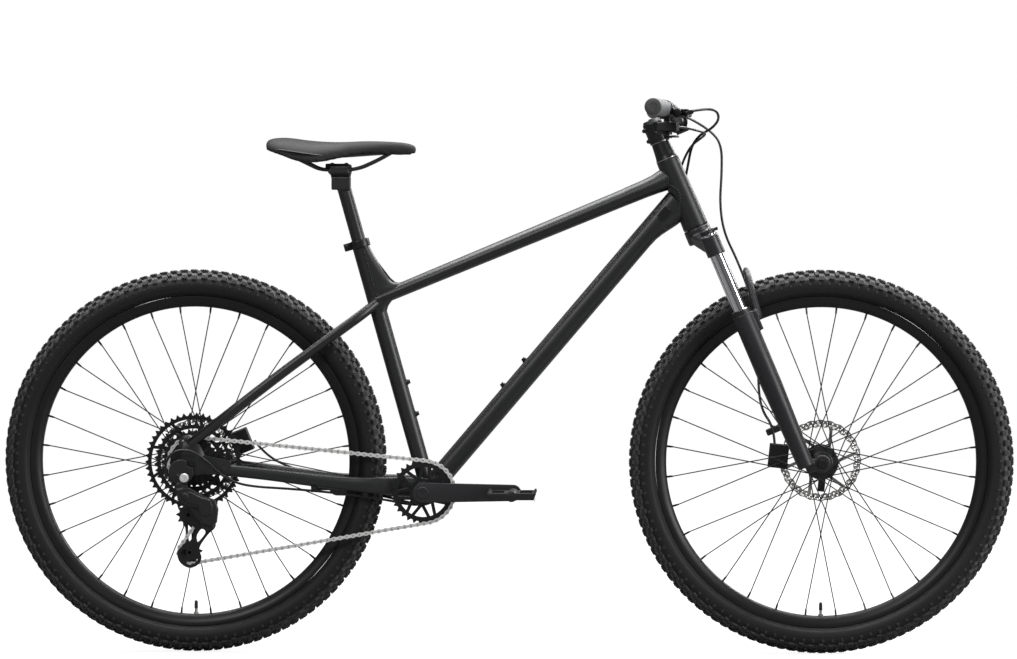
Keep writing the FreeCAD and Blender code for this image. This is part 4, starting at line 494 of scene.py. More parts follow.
def makeRotor(name, node, centre, body):
    # a ring with slots, joined to its carrier by six swept arms
    low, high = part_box(node)
    thick = high[1] - low[1]
    outer = (high[0] - low[0]) / 2
    mid = Vector((centre.x, (low[1] + high[1]) / 2, centre.z))
    bm = bmesh.new()
    waves, steps = 24, 288
    rings = []
    for side in (-1, 1):
        for edge in ("outer", "inner"):
            ring = []
            for step in range(steps):
                angle = 2 * math.pi * step / steps
                ripple = math.cos(waves * angle)
                radius = outer - 0.0012 + 0.0009 * ripple if edge == "outer" else 0.0655 + 0.0013 * ripple
                ring.append(bm.verts.new(mid + Vector((radius * math.cos(angle), side * thick / 2,
                                                       radius * math.sin(angle)))))
            rings.append(ring)
    for step in range(steps):
        after = (step + 1) % steps
        for first, second in ((0, 1), (1, 3), (3, 2), (2, 0)):
            bm.faces.new((rings[first][step], rings[second][step], rings[second][after], rings[first][after]))
    for index in range(6):
        angle = math.pi / 3 * index + 0.2
        start = Vector((0.021 * math.cos(angle - 0.55), 0, 0.021 * math.sin(angle - 0.55)))
        end = Vector((0.067 * math.cos(angle), 0, 0.067 * math.sin(angle)))
        span = end - start
        turn = Matrix((span.normalized(), left, span.normalized().cross(left))).transposed()
        box(bm, mid + (start + end) / 2, (span.length, thick * 0.98, 0.0062), turn)
    outline = [(0.0225, -thick / 2), (0.0225, thick / 2), (0.0125, thick / 2), (0.0125, -thick / 2)]
    lathe(bm, outline, mid, segments=64)
    holes = bmesh.new()
    for step in range(waves * 2):
        for row in range(2):
            angle = 2 * math.pi * (step + 0.5 * row) / (waves * 2)
            radius = 0.0698 + 0.0055 * row
            spot = mid + Vector((radius * math.cos(angle), 0, radius * math.sin(angle)))
            rod(holes, spot - left * (thick / 2 + 0.0002), spot + left * (thick / 2 + 0.0002), 0.0016, segments=12)
    rotor = finishMesh(name + "Rotor", bm, steel)
    cutter = finishMesh(name + "RotorHoles", holes, steel)
    useModifier(rotor, "BOOLEAN", operation="DIFFERENCE", object=cutter, solver="EXACT")
    bpy.data.objects.remove(cutter)
    bolts = bmesh.new()
    for index in range(6):
        angle = math.pi / 3 * index + 0.5
        spot = mid + Vector((0.0195 * math.cos(angle), 0, 0.0195 * math.sin(angle)))
        rod(bolts, spot, spot + left * (thick / 2 + 0.0016), 0.0032, 0.0028, 16)
    heads = finishMesh(name + "RotorBolts", bolts, darkSteel)
    for piece in (rotor, heads):
        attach(piece, body)
    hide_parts(node)


for end, axle, flanges in (("front", frontAxle, (0.024, 0.028)), ("rear", rearAxle, (0.034, 0.016))):
    makeRim(end, end + "_rim", axle, end + "_wheel")
    makeSpokes(end, end + "_spokes", axle, end + "_wheel", *flanges)
    makeRotor(end, end + "_rotor", axle, end + "_wheel")
    rounded(end + "_hub", end + "_wheel", anodised, 0.0008)
print("stage: wheels")


# the frame: shaped tubes that flow into each other, with a bead of weld round each joint

bracket = Vector((crankAxis.x, 0, crankAxis.z))
headLow = frontAxle + steerUp * 0.516 - steerAhead * 0.046
seatLean = math.radians(15.65)
seatUp = Vector((-math.sin(seatLean), 0, math.cos(seatLean)))
seatHigh = bracket + Vector((0.0085, 0, 0)) + seatUp * 0.506
downStart = bracket + Vector((0.008, 0, 0))
downEnd = headLow + steerUp * 0.070
downAxis = (downEnd - downStart).normalized()
downUp = Vector((-downAxis.z, 0, downAxis.x))
topStart = seatHigh - seatUp * 0.122
topEnd = headLow + steerUp * 0.104
topAxis = (topEnd - topStart).normalized()
topUp = Vector((-topAxis.z, 0, topAxis.x))
seatAhead = Vector((seatUp.z, 0, -seatUp.x))
braceRows = [  # down from the top of the seat tube, and the reach ahead of its axis: a hydroformed brace
    (0.012, 0.0158), (0.020, 0.0172), (0.035, 0.0205), (0.053, 0.0258), (0.070, 0.0312), (0.088, 0.0375),
    (0.096, 0.0425), (0.101, 0.0520), (0.105, 0.0640), (0.110, 0.0700), (0.122, 0.0560), (0.132, 0.0300),
    (0.140, 0.0205), (0.148, 0.0158)]
downRows = [  # along the tube, half width, depth above, depth below: it flares below its head joint
    (0.000, 0.0240, 0.0205, 0.0205), (0.300, 0.0240, 0.0205, 0.0205), (0.640, 0.0240, 0.0205, 0.0205),
    (0.658, 0.0240, 0.0205, 0.0214), (0.673, 0.0238, 0.0205, 0.0242), (0.692, 0.0234, 0.0205, 0.0298),
    (0.704, 0.0230, 0.0205, 0.0335), (0.722, 0.0222, 0.0205, 0.0372), (0.742, 0.0210, 0.0205, 0.0390)]
chainstayRows = [  # back from the bracket, sideways, up, half width, half depth
    (-0.002, 0.027, 0.008, 0.0085, 0.0190), (-0.030, 0.0285, 0.009, 0.0085, 0.0192),
    (-0.058, 0.0315, 0.0105, 0.0082, 0.0182), (-0.086, 0.0385, 0.012, 0.0078, 0.0165),
    (-0.112, 0.0440, 0.013, 0.0075, 0.0148), (-0.185, 0.0480, 0.019, 0.0075, 0.0126),
    (-0.300, 0.0620, 0.034, 0.0075, 0.0115), (-0.388, 0.0740, 0.044, 0.0072, 0.0110)]


def shell(name, bm, nodes, material, body, voxel, rounds):
    # tubes and castings become one skin with small fillets where they meet
    piece = finishMesh(name, bm, material, 180)
    useModifier(piece, "REMESH", mode="VOXEL", voxel_size=voxel, use_smooth_shade=True)
    useModifier(piece, "SMOOTH", factor=0.5, iterations=rounds)
    piece.data.shade_smooth()
    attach(piece, body)
    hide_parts(*nodes)
    return piece


def addNodes(bm, *nodes):
    for node in nodes:
        bm.from_mesh(frame["nodes"][node].data)


def makeFrontTriangle():
    bm = bmesh.new()
    addNodes(bm, "head_tube", "top_tube", "seat_tube", "bottom_bracket_shell")
    bmesh.ops.remove_doubles(bm, verts=bm.verts, dist=1e-6)
    loft(bm, [(downStart + downAxis * along, left, downUp, half, above, below)
              for along, half, above, below in downRows], power=2.5)
    loft(bm, [(seatHigh - seatUp * below, left, seatAhead, 0.0158, reach, 0.006)
              for below, reach in braceRows], power=2.7)
    loft(bm, [(topEnd - topAxis * back, left, topUp, half, above, below) for back, half, above, below in
              ((0.100, 0.018, 0.0168, 0.0165), (0.062, 0.018, 0.0174, 0.0170), (0.040, 0.019, 0.0190, 0.0180),
               (0.026, 0.0195, 0.0222, 0.0192), (0.010, 0.0195, 0.0240, 0.0200))])
    # a raised cover where the right-hand lines would enter
    for side in (1, -1):
        cover = downEnd - downAxis * 0.052 + left * side * 0.0225
        rings = []
        for out, grow in ((0.0, 1.0), (0.0022, 0.96), (0.0036, 0.80), (0.0041, 0.45)):
            rings.append([bm.verts.new(cover + left * side * out + downAxis * 0.0135 * grow * math.cos(turn)
                                       + downUp * 0.0085 * grow * math.sin(turn))
                          for turn in (2 * math.pi * step / 32 for step in range(32))])
        for here, there in zip(rings, rings[1:]):
            for step in range(32):
                after = (step + 1) % 32
                bm.faces.new((here[step], here[after], there[after], there[step]))
        bm.faces.new(rings[-1])
        bm.faces.new(list(reversed(rings[0])))
    triangle = finishMesh("frontTriangle", bm, paint, 35)
    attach(triangle, "frame")
    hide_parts("head_tube", "top_tube", "seat_tube", "down_tube", "bottom_bracket_shell")


def makeRearTriangle():
    bm = bmesh.new()
    addNodes(bm, "seatstays", "dropouts")
    bmesh.ops.remove_doubles(bm, verts=bm.verts, dist=1e-6)
    for side in (1, -1):
        middles = [bracket + Vector((back, side * across, rise)) for back, across, rise, _, _ in chainstayRows]
        spots = smoothPath(middles)
        rows = []
        for index, spot in enumerate(spots):
            place = min(index / 10, len(chainstayRows) - 1.0001)
            first, share = int(place), place % 1
            half, depth = [chainstayRows[first][key] * (1 - share) + chainstayRows[first + 1][key] * share
                           for key in (3, 4)]
            ahead = (spots[min(index + 1, len(spots) - 1)] - spots[max(index - 1, 0)]).normalized()
            sideways = ahead.cross(up).normalized()
            rows.append((spot, sideways, sideways.cross(ahead), half, depth, depth))
        loft(bm, rows, count=32, power=2.3)
    triangle = finishMesh("rearTriangle", bm, paint, 35)
    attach(triangle, "frame")
    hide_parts("chainstays", "seatstays", "dropouts")


def nodeTree(*nodes):
    bm = bmesh.new()
    addNodes(bm, *nodes)
    tree = BVHTree.FromBMesh(bm)
    bm.free()
    return tree


def weld(bm, tree, start, along, sideways, section, power=2.0, radius=0.0024):
    # blobs laid side by side where the tube's skin meets its neighbour
    upward = sideways.cross(along)
    loop = []
    for step in range(241):
        across, lift = sectionPoint(2 * math.pi * step / 240, *section, power)
        hit = tree.ray_cast(start + sideways * across + upward * lift, along, 0.3)[0]
        if hit:
            loop.append(hit)
    travelled = 0.0
    for here, there in zip(loop, loop[1:]):
        gap = (there - here).length
        travelled += gap
        if gap < 0.02 and travelled > radius * 1.05:
            travelled = 0.0
            squash = Matrix.Diagonal((1, 1, 0.62, 1))
            turn = (there - here).to_track_quat("Z", "Y").to_matrix().to_4x4()
            bmesh.ops.create_icosphere(bm, subdivisions=2, radius=radius,
                                       matrix=Matrix.Translation(there) @ turn @ squash)


def makeWelds():
    head = nodeTree("head_tube")
    seat = nodeTree("seat_tube")
    bracketShell = nodeTree("bottom_bracket_shell")
    bm = bmesh.new()
    weld(bm, head, topEnd - topAxis * 0.06, topAxis, left, (0.0182, 0.0168, 0.0168))
    weld(bm, head, downEnd - downAxis * 0.07, downAxis, left, (0.0230, 0.0207, 0.0350), 2.5)
    weld(bm, seat, topStart + topAxis * 0.06, -topAxis, left, (0.0182, 0.0132, 0.0132))
    weld(bm, bracketShell, downStart + downAxis * 0.08, -downAxis, left, (0.0242, 0.0207, 0.0207), 2.5)
    weld(bm, bracketShell, seatHigh - seatUp * 0.42, -seatUp, left, (0.0162, 0.0162, 0.0162))
    for side in (1, -1):
        start = bracket + Vector((-0.060, side * 0.0305, 0.0095))
        weld(bm, bracketShell, start, Vector((1, 0, 0)), left, (0.0084, 0.0188, 0.0188), 2.3, 0.002)
        foot = seatHigh - seatUp * 0.128 + Vector((-0.045, side * 0.020, -0.033))
        weld(bm, seat, foot, Vector((0.045, -side * 0.007, 0.033)).normalized(), left,
             (0.0080, 0.0095, 0.0095), 2.0, 0.0019)
    for side in (1, -1):
        brace = [seatHigh - seatUp * below + seatAhead * 0.005 + left * side * 0.0157
                 for below in (0.022, 0.042, 0.062, 0.082, 0.100)]
        for spot in smoothPath(brace, 9):
            bmesh.ops.create_icosphere(bm, subdivisions=2, radius=0.0012, matrix=Matrix.Translation(spot))
    beads = finishMesh("weldBeads", bm, paint, 180)
    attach(beads, "frame")


makeFrontTriangle()
makeRearTriangle()
makeWelds()
print("stage: frame")


# lines: the hoses and housings hang in even curves between their holders

def hoseBody(name, points, radius, body):
    curve = bpy.data.curves.new(name, "CURVE")
    curve.dimensions = "3D"
    curve.bevel_depth = radius
    curve.bevel_resolution = 4
    curve.resolution_u = 10
    curve.use_fill_caps = True
    spline = curve.splines.new("NURBS")
    spline.points.add(len(points) - 1)
    for point, spot in zip(spline.points, points):
        point.co = (*spot, 1)
    spline.order_u = 3
    spline.use_endpoint_u = True
    piece = bpy.data.objects.new(name, curve)
    bpy.context.collection.objects.link(piece)
    curve.materials.append(hoseSkin)
    depsgraph = bpy.context.evaluated_depsgraph_get()
    mesh = bpy.data.meshes.new_from_object(piece.evaluated_get(depsgraph))
    tube = bpy.data.objects.new(name + "Tube", mesh)
    bpy.context.collection.objects.link(tube)
    bpy.data.objects.remove(piece)
    mesh.shade_smooth()
    if len(body) == 4:
        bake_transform(tube)
    else:
        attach(tube, body[0])
    return tube


hosePoints = {
    "frontBrakeHose": [(0.337, 0.189, 1.0445), (0.349, 0.150, 1.042), (0.398, 0.140, 1.012), (0.416, 0.122, 0.985),
                       (0.416, 0.112, 0.930), (0.412, 0.106, 0.872), (0.420, 0.102, 0.815), (0.446, 0.097, 0.762),
                       (0.468, 0.094, 0.705), (0.486, 0.093, 0.646), (0.490, 0.091, 0.585), (0.487, 0.084, 0.524),
                       (0.493, 0.062, 0.470), (0.517, 0.043, 0.437), (0.519, 0.040, 0.405)],
    "rearBrakeHose": [(0.337, -0.189, 1.0445), (0.351, -0.150, 1.050), (0.400, -0.120, 1.056),
                      (0.410, -0.085, 1.037), (0.396, -0.048, 1.018), (0.372, -0.010, 1.006),
                      (0.356, 0.022, 0.984), (0.349, 0.038, 0.944), (0.341, 0.038, 0.905), (0.3305, 0.032, 0.881),
                      (0.314, 0.027, 0.861)],
    "shiftHousing": [(0.321, -0.188, 1.0195), (0.333, -0.159, 1.021), (0.372, -0.104, 1.012),
                     (0.384, -0.060, 1.008), (0.376, -0.016, 1.000), (0.356, 0.018, 0.986),
                     (0.340, 0.030, 0.956), (0.330, 0.032, 0.922), (0.325, 0.029, 0.885), (0.308, 0.027, 0.865)],
    "stayHousing": [(-0.113, -0.012, 0.340), (-0.122, -0.013, 0.312), (-0.142, -0.015, 0.292),
                    (-0.181, -0.020, 0.286), (-0.232, -0.033, 0.298), (-0.300, -0.046, 0.309),
                    (-0.374, -0.053, 0.317), (-0.430, -0.061, 0.322), (-0.485, -0.074, 0.326),
                    (-0.522, -0.087, 0.334), (-0.553, -0.094, 0.352), (-0.580, -0.098, 0.380),
                    (-0.608, -0.099, 0.398), (-0.640, -0.099, 0.398), (-0.660, -0.098, 0.372),
                    (-0.656, -0.094, 0.344)],
    "stayBrakeHose": [(-0.113, 0.012, 0.340), (-0.122, 0.013, 0.312), (-0.142, 0.015, 0.292),
                      (-0.181, 0.020, 0.286), (-0.232, 0.033, 0.298), (-0.300, 0.050, 0.312),
                      (-0.374, 0.063, 0.338), (-0.430, 0.071, 0.354), (-0.478, 0.072, 0.378),
                      (-0.4993, 0.067, 0.407)]}


def makeHoses():
    # a hose from one body to another is laid in place between them; a hose on one body is fixed to it
    toFork = ("steering", "fork_lower", (0.418, 0.103, 0.860), (0.500, 0.060, 0.470))
    toFrame = ("frame", "steering", (0.335, 0.034, 0.905), (0.390, -0.050, 1.018))
    places = (("frontBrakeHose", toFork, "front_brake_hose", 0.0025),
              ("rearBrakeHose", toFrame, "bar_hoses", 0.0025), ("shiftHousing", toFrame, "", 0.00235),
              ("stayHousing", ("frame",), "stay_hoses", 0.00235), ("stayBrakeHose", ("frame",), "", 0.0025))
    for name, body, node, radius in places:
        tube = hoseBody(name, hosePoints[name], radius, body)
        if node:
            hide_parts(node)


makeHoses()
print("stage: hoses")


# CAD nodes that keep their shape get a finish here

finishes = {
    "anodised": (anodised, ["headset_cups", "bottom_bracket_cups", "frame_fittings", "rear_axle",
                            "headset_spacers", "handlebar", "front_axle",
                            "crank_spindle", "pedal_axles"]),
    "chrome": (chrome, ["stanchions"]),
    "plastic": (blackPlastic, ["fork_seals"]),
}
for material, names in finishes.values():
    for name in names:
        mesh = frame["nodes"][name].data
        mesh.materials.clear()
        mesh.materials.append(material)

castPieces = [("fork_lowers", "fork_lower", forkPaint), ("fork_crown", "steering", charcoal),
              ("front_caliper", "fork_lower", anodised), ("seat_collar", "frame", anodised),
              ("rear_caliper", "frame", anodised), ("brake_master_cylinders", "steering", anodised),
              ("shifter_body", "steering", blackPlastic), ("stem", "steering", anodised)]
for node, body, material in castPieces:
    big = node in ("fork_lowers", "fork_crown")
    soft = node == "rear_caliper"
    cast(node, body, material, voxel=0.0015 if big else 0.001, rounds=12 if big else 16 if soft else 4,
         keep=1 if big else 0.5)
rounded("crank_arms", "crank", charcoal, 0.0016, 3)
rounded("saddle_frame", "seat", blackPlastic, 0.0012, 2)
for node, body in (("pedal_right", "pedal_right"), ("pedal_left", "pedal_left"), ("axle_lever", "axle_lever"),
                   ("lockout_dial", "lockout_dial")):
    rounded(node, body, blackPlastic, 0.0007)
for node in ("brake_lever_left", "brake_lever_right", "shift_thumb_lever", "shift_release_lever"):
    rounded(node, node, anodised, 0.0006)
print("stage: castings")


# grips: ribbed rubber sleeves with a hard cap at the end and a clamp ring inboard

grip = {"length": 0.130, "radius": 0.0162, "ribs": 30, "ribDepth": 0.0005}


def turnTo(bm, start, direction):
    place = Matrix.Translation(start) @ direction.to_track_quat("Z", "Y").to_matrix().to_4x4()
    bmesh.ops.transform(bm, matrix=place, verts=bm.verts)


def makeGrips():
    spots = [vert.co.copy() for vert in frame["nodes"]["grips"].data.vertices]
    pieces = []
    for name, side in (("left", 1), ("right", -1)):
        own = [spot for spot in spots if spot.y * side > 0]
        reach = [spot.y * side for spot in own]
        ends = []
        for edge in (min(reach), max(reach)):
            ring = [spot for spot in own if abs(spot.y * side - edge) < 0.006]
            ends.append(Vector([(min(spot[key] for spot in ring) + max(spot[key] for spot in ring)) / 2
                                for key in range(3)]))
        axis = (ends[1] - ends[0]).normalized()
        start = ends[1] - axis * grip["length"]
        outline = [(0.0120, 0.012), (grip["radius"] - 0.001, 0.012)]
        for rib in range(grip["ribs"]):
            at = 0.0135 + (grip["length"] - 0.019) * rib / grip["ribs"]
            step = (grip["length"] - 0.019) / grip["ribs"]
            outline += [(grip["radius"] - grip["ribDepth"], at), (grip["radius"] - 0.0001, at + step * 0.22),
                        (grip["radius"] - 0.0001, at + step * 0.68), (grip["radius"] - grip["ribDepth"], at + step * 0.9)]
        outline += [(grip["radius"] - 0.001, grip["length"] - 0.0045), (0.0120, grip["length"] - 0.0045)]
        sleeve = bmesh.new()
        lathe(sleeve, outline, Vector(), "Z", 72)
        turnTo(sleeve, start, axis)
        cap = bmesh.new()
        end = grip["length"]
        lathe(cap, [(0.0001, end - 0.005), (grip["radius"] - 0.0002, end - 0.0045), (grip["radius"], end - 0.003),
                    (grip["radius"] - 0.0006, end - 0.0012), (grip["radius"] - 0.002, end - 0.0002),
                    (0.0085, end), (0.0080, end - 0.0008), (0.0001, end - 0.0009)], Vector(), "Z", 72)
        turnTo(cap, start, axis)
        ring = bmesh.new()
        lathe(ring, [(0.0122, 0.0), (0.0158, 0.0), (0.0164, 0.001), (0.0164, 0.0108), (0.0158, 0.0118),
                     (0.0122, 0.0118)], Vector(), "Z", 64)
        turnTo(ring, start, axis)
        pieces += [finishMesh(name + "GripSleeve", sleeve, gripRubber), finishMesh(name + "GripCap", cap, capRubber),
                   finishMesh(name + "GripRing", ring, anodised)]
    for piece in pieces:
        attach(piece, "steering")
    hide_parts("grips")


makeGrips()
print("stage: grips")


# the chain: roller, inner and outer links along the loop round the four toothed wheels

def chainRoute():
    wheels = [(rearAxle, 24, 1), (crankAxis, 30, 1),
              (Vector(jointNamed["tension_pulley_spin"]["pos_m"]), 11, 1),
              (Vector(jointNamed["guide_pulley_spin"]["pos_m"]), 11, -1)]
    pitch = 0.0127
    radii = [pitch / (2 * math.sin(math.pi / teeth)) for _, teeth, _ in wheels]
    joins = []
    for index in range(4):
        after = (index + 1) % 4
        gap = wheels[after][0] - wheels[index][0]
        first = wheels[index][2] * radii[index]
        second = wheels[after][2] * radii[after]
        heading = math.atan2(gap.z, gap.x) + math.asin((second - first) / math.hypot(gap.x, gap.z))
        outward = Vector((-math.sin(heading), 0, math.cos(heading)))
        joins.append((wheels[index][0] + outward * first, wheels[after][0] + outward * second))
    spots = []
    for index, (centre, teeth, sense) in enumerate(wheels):
        arrive, leave = joins[index - 1][1], joins[index][0]
        first = math.atan2(arrive.z - centre.z, arrive.x - centre.x)
        last = math.atan2(leave.z - centre.z, leave.x - centre.x)
        sweep = (sense * (first - last)) % (2 * math.pi)
        steps = max(2, round(sweep * radii[index] / 0.0005))
        for step in range(steps):
            angle = first - sense * sweep * step / steps
            spots.append(Vector((centre.x + radii[index] * math.cos(angle), 0,
                                 centre.z + radii[index] * math.sin(angle))))
        target = joins[index][1]
        steps = round((target - leave).length / 0.0005)
        spots += [Vector(((leave + (target - leave) * (step / steps)).x, 0,
                          (leave + (target - leave) * (step / steps)).z)) for step in range(steps)]
    return spots


def makeChain():
    spots = chainRoute()
    lengths = [0.0]
    for before, after in zip(spots, spots[1:] + spots[:1]):
        lengths.append(lengths[-1] + (after - before).length)
    count = 2 * round(lengths[-1] / 0.0127 / 2)
    step = lengths[-1] / count
    pins = []
    at = 0
    for index in range(count):
        while lengths[at + 1] < index * step:
            at += 1
        pins.append(spots[at])
    low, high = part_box("chain")
    y = (low[1] + high[1]) / 2
    plates = bmesh.new()
    barrels = bmesh.new()
    for index in range(count):
        here, there = pins[index], pins[(index + 1) % count]
        span = there - here
        along = span.normalized()
        across = Vector((-along.z, 0, along.x))
        inner = index % 2
        for side in (-1, 1):
            face = y + side * (0.0015 if inner else 0.0026)
            outline = []
            for half, centre in ((1, there), (-1, here)):
                for turn in range(9):
                    angle = -math.pi / 2 + math.pi * turn / 8
                    outline.append(centre + along * half * 0.0042 * math.cos(angle)
                                   + across * half * 0.0042 * math.sin(angle))
                waist = (here + there) / 2 + across * half * 0.0024
                outline.append(waist)
            base = [plates.verts.new(Vector((spot.x, face, spot.z))) for spot in outline]
            top = [plates.verts.new(Vector((spot.x, face + side * 0.0009, spot.z))) for spot in outline]
            size = len(outline)
            plates.faces.new(base)
            plates.faces.new(list(reversed(top)))
            for turn in range(size):
                after = (turn + 1) % size
                plates.faces.new((base[turn], base[after], top[after], top[turn]))
        spot = Vector((here.x, y, here.z))
        rod(barrels, spot - left * 0.0016, spot + left * 0.0016, 0.0036, segments=12)
        rod(barrels, spot - left * 0.0037, spot + left * 0.0037, 0.0017, segments=10)
    links = finishMesh("chainPlates", plates, chainSteel)
    barrel = finishMesh("chainRollers", barrels, steel)
    for piece in (links, barrel):
        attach(piece, "frame")
    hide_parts("chain")
    return pins


chainPins = makeChain()
print("stage: chain")


# toothed wheels: their gaps sit under the chain's rollers

def gapPhase(centre, teeth):
    # the angle of one tooth gap, taken from the roller that lies best on the pitch circle
    pitchRadius = 0.0127 / (2 * math.sin(math.pi / teeth))
    best = min(chainPins, key=lambda pin: abs((pin - centre).xz.length - pitchRadius))
    return math.atan2(best.z - centre.z, best.x - centre.x)


def toothedBand(bm, centre, y, thick, teeth, phase, inner):
    pitchRadius = 0.0127 / (2 * math.sin(math.pi / teeth))
    profile = [(0.0, -0.0036), (0.15, -0.0032), (0.28, -0.0012), (0.40, 0.0014), (0.46, 0.0024), (0.54, 0.0024),
               (0.60, 0.0014), (0.72, -0.0012), (0.85, -0.0032)]
    rows = []
    for tooth in range(teeth):
        for share, height in profile:
            angle = phase + 2 * math.pi * (tooth + share) / teeth
            thin = 0.35 if height > 0 else 1.0
            ring = []
            for radius, across in ((pitchRadius + height, thick / 2 * thin), (pitchRadius - 0.0042, thick / 2),
                                   (inner, thick / 2), (inner, -thick / 2), (pitchRadius - 0.0042, -thick / 2),
                                   (pitchRadius + height, -thick / 2 * thin)):
                ring.append(bm.verts.new((centre.x + radius * math.cos(angle), y + across,
                                          centre.z + radius * math.sin(angle))))
            rows.append(ring)
    for index, here in enumerate(rows):
        there = rows[(index + 1) % len(rows)]
        for step in range(6):
            after = (step + 1) % 6
            bm.faces.new((here[step], here[after], there[after], there[step]))


def strut(bm, centre, y, thick, width, innerSpot, outerSpot):
    # spots are pairs of radius and angle
    start, end = [Vector((radius * math.cos(angle), 0, radius * math.sin(angle))) for radius, angle in
                  (innerSpot, outerSpot)]
    span = end - start
    along = span.normalized()
    turn = Matrix((along, left, along.cross(left))).transposed()
    spot = Vector((centre.x, y, centre.z)) + (start + end) / 2
    box(bm, spot, (span.length, thick, width), turn, chamfer=0.0004)


cassetteCogs = {"teeth": [11, 13, 15, 18, 21, 24, 30, 37, 46], "spacing": 0.00434, "chosen": 24}


def makeCassette():
    bm = bmesh.new()
    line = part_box("chainring")
    y = (line[0][1] + line[1][1]) / 2
    chosen = cassetteCogs["teeth"].index(cassetteCogs["chosen"])
    for index, teeth in enumerate(cassetteCogs["teeth"]):
        spot = y + (index - chosen) * cassetteCogs["spacing"]
        pitchRadius = 0.0127 / (2 * math.sin(math.pi / teeth))
        phase = gapPhase(rearAxle, teeth) if index == chosen else 0.3 * index
        if teeth < 28:
            toothedBand(bm, rearAxle, spot, 0.0018, teeth, phase, 0.0200)
            continue
        band = pitchRadius - 0.0105
        toothedBand(bm, rearAxle, spot, 0.0018, teeth, phase, band)
        arms = {30: 6, 37: 6, 46: 9}[teeth]
        for arm in range(arms):
            angle = 2 * math.pi * arm / arms + 0.35 * index
            root = 0.021 if teeth < 46 else 0.052
            strut(bm, rearAxle, spot, 0.0019, 0.0062, (root, angle - 0.16), (band + 0.002, angle))
        if teeth == 46:
            lathe(bm, [(0.056, spot - 0.001), (0.056, spot + 0.001), (0.0485, spot + 0.001),
                       (0.0485, spot - 0.001)], Vector((rearAxle.x, 0, rearAxle.z)), "Y", 96)
            for arm in range(6):
                angle = 2 * math.pi * arm / 6 + 0.2
                strut(bm, rearAxle, spot, 0.0021, 0.0085, (0.0195, angle - 0.2), (0.052, angle))
    first = y - chosen * cassetteCogs["spacing"]
    last = first + (len(cassetteCogs["teeth"]) - 1) * cassetteCogs["spacing"]
    lathe(bm, [(0.0205, first - 0.002), (0.0205, last + 0.004), (0.0120, last + 0.004), (0.0120, first - 0.0005),
               (0.0165, first - 0.0005), (0.0168, first - 0.002)], Vector((rearAxle.x, 0, rearAxle.z)), "Y", 72)
    cogs = finishMesh("cassetteCogs", bm, darkSteel)
    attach(cogs, "cassette")
    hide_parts("cassette")


def makeChainring():
    low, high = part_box("chainring")
    y = (low[1] + high[1]) / 2
    bm = bmesh.new()
    toothedBand(bm, crankAxis, y, 0.0022, 30, gapPhase(crankAxis, 30), 0.0485)
    for arm in range(7):
        angle = 2 * math.pi * arm / 7 + 0.12
        for lean in (-0.33, 0.33):
            strut(bm, crankAxis, y, 0.0024, 0.0064, (0.0235, angle), (0.0510, angle + lean))
    lathe(bm, [(0.0195, y - 0.0013), (0.0262, y - 0.0013), (0.0268, y), (0.0262, y + 0.0013), (0.0195, y + 0.0013)],
          bracket, "Y", 96)
    ring = finishMesh("chainringToothed", bm, anodised)
    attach(ring, "crank")
    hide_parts("chainring")
    bolts = bmesh.new()
    for side, node in ((-1, "crank_arms"), (1, "crank_arms")):
        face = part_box(node)[1][1] if side > 0 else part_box(node)[0][1]
        lathe(bolts, [(0.0001, face - side * 0.002), (0.0038, face - side * 0.002), (0.0042, face + side * 0.0012),
                      (0.0108, face + side * 0.0014), (0.0118, face + side * 0.0002), (0.0118, face - side * 0.003),
                      (0.0001, face - side * 0.003)], bracket, "Y", 48)
    heads = finishMesh("crankBolts", bolts, forkPaint)
    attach(heads, "crank")


def makePulley(name, node, joint, body):
    centre = Vector(jointNamed[joint]["pos_m"])
    low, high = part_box(node)
    y = (low[1] + high[1]) / 2
    bm = bmesh.new()
    toothedBand(bm, centre, y, 0.0024, 11, gapPhase(centre, 11), 0.0125)
    for arm in range(5):
        angle = 2 * math.pi * arm / 5
        strut(bm, centre, y, 0.0024, 0.0036, (0.0065, angle), (0.0135, angle))
    hub = Vector((centre.x, 0, centre.z))
    lathe(bm, [(0.0032, y - 0.0016), (0.0078, y - 0.0016), (0.0078, y + 0.0016), (0.0032, y + 0.0016)], hub, "Y", 40)
    wheel = finishMesh(name, bm, blackPlastic)
    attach(wheel, body)
    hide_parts(node)


# the derailleur's cage plates and links; the shapes are in metres from the rear axle

cageOuter = [(0.044, -0.122), (0.042, -0.110), (0.033, -0.101), (0.020, -0.102), (0.008, -0.095), (-0.004, -0.088),
             (-0.018, -0.090), (-0.024, -0.102), (-0.018, -0.114), (-0.005, -0.120), (0.004, -0.132),
             (-0.004, -0.150), (-0.020, -0.162), (-0.031, -0.175), (-0.026, -0.194), (-0.009, -0.205),
             (0.008, -0.200), (0.016, -0.186), (0.012, -0.170), (0.016, -0.158), (0.030, -0.139), (0.040, -0.130)]
cageWindows = [[(0.004, -0.150), (0.010, -0.154), (0.024, -0.136), (0.015, -0.130)],
               [(-0.024, -0.175), (-0.020, -0.187), (-0.014, -0.184), (-0.014, -0.169)],
               [(-0.014, -0.196), (-0.007, -0.199), (0.004, -0.195), (0.008, -0.188), (0.000, -0.190),
                (-0.008, -0.191)]]
linkOutline = [(-0.027, -0.050), (-0.006, -0.045), (0.026, -0.063), (0.047, -0.070), (0.053, -0.088),
               (0.050, -0.114), (0.037, -0.120), (0.022, -0.114), (0.016, -0.085), (-0.010, -0.079),
               (-0.025, -0.070)]


def fromAxle(loop):
    return [(rearAxle.x + x, rearAxle.z + z) for x, z in loop]


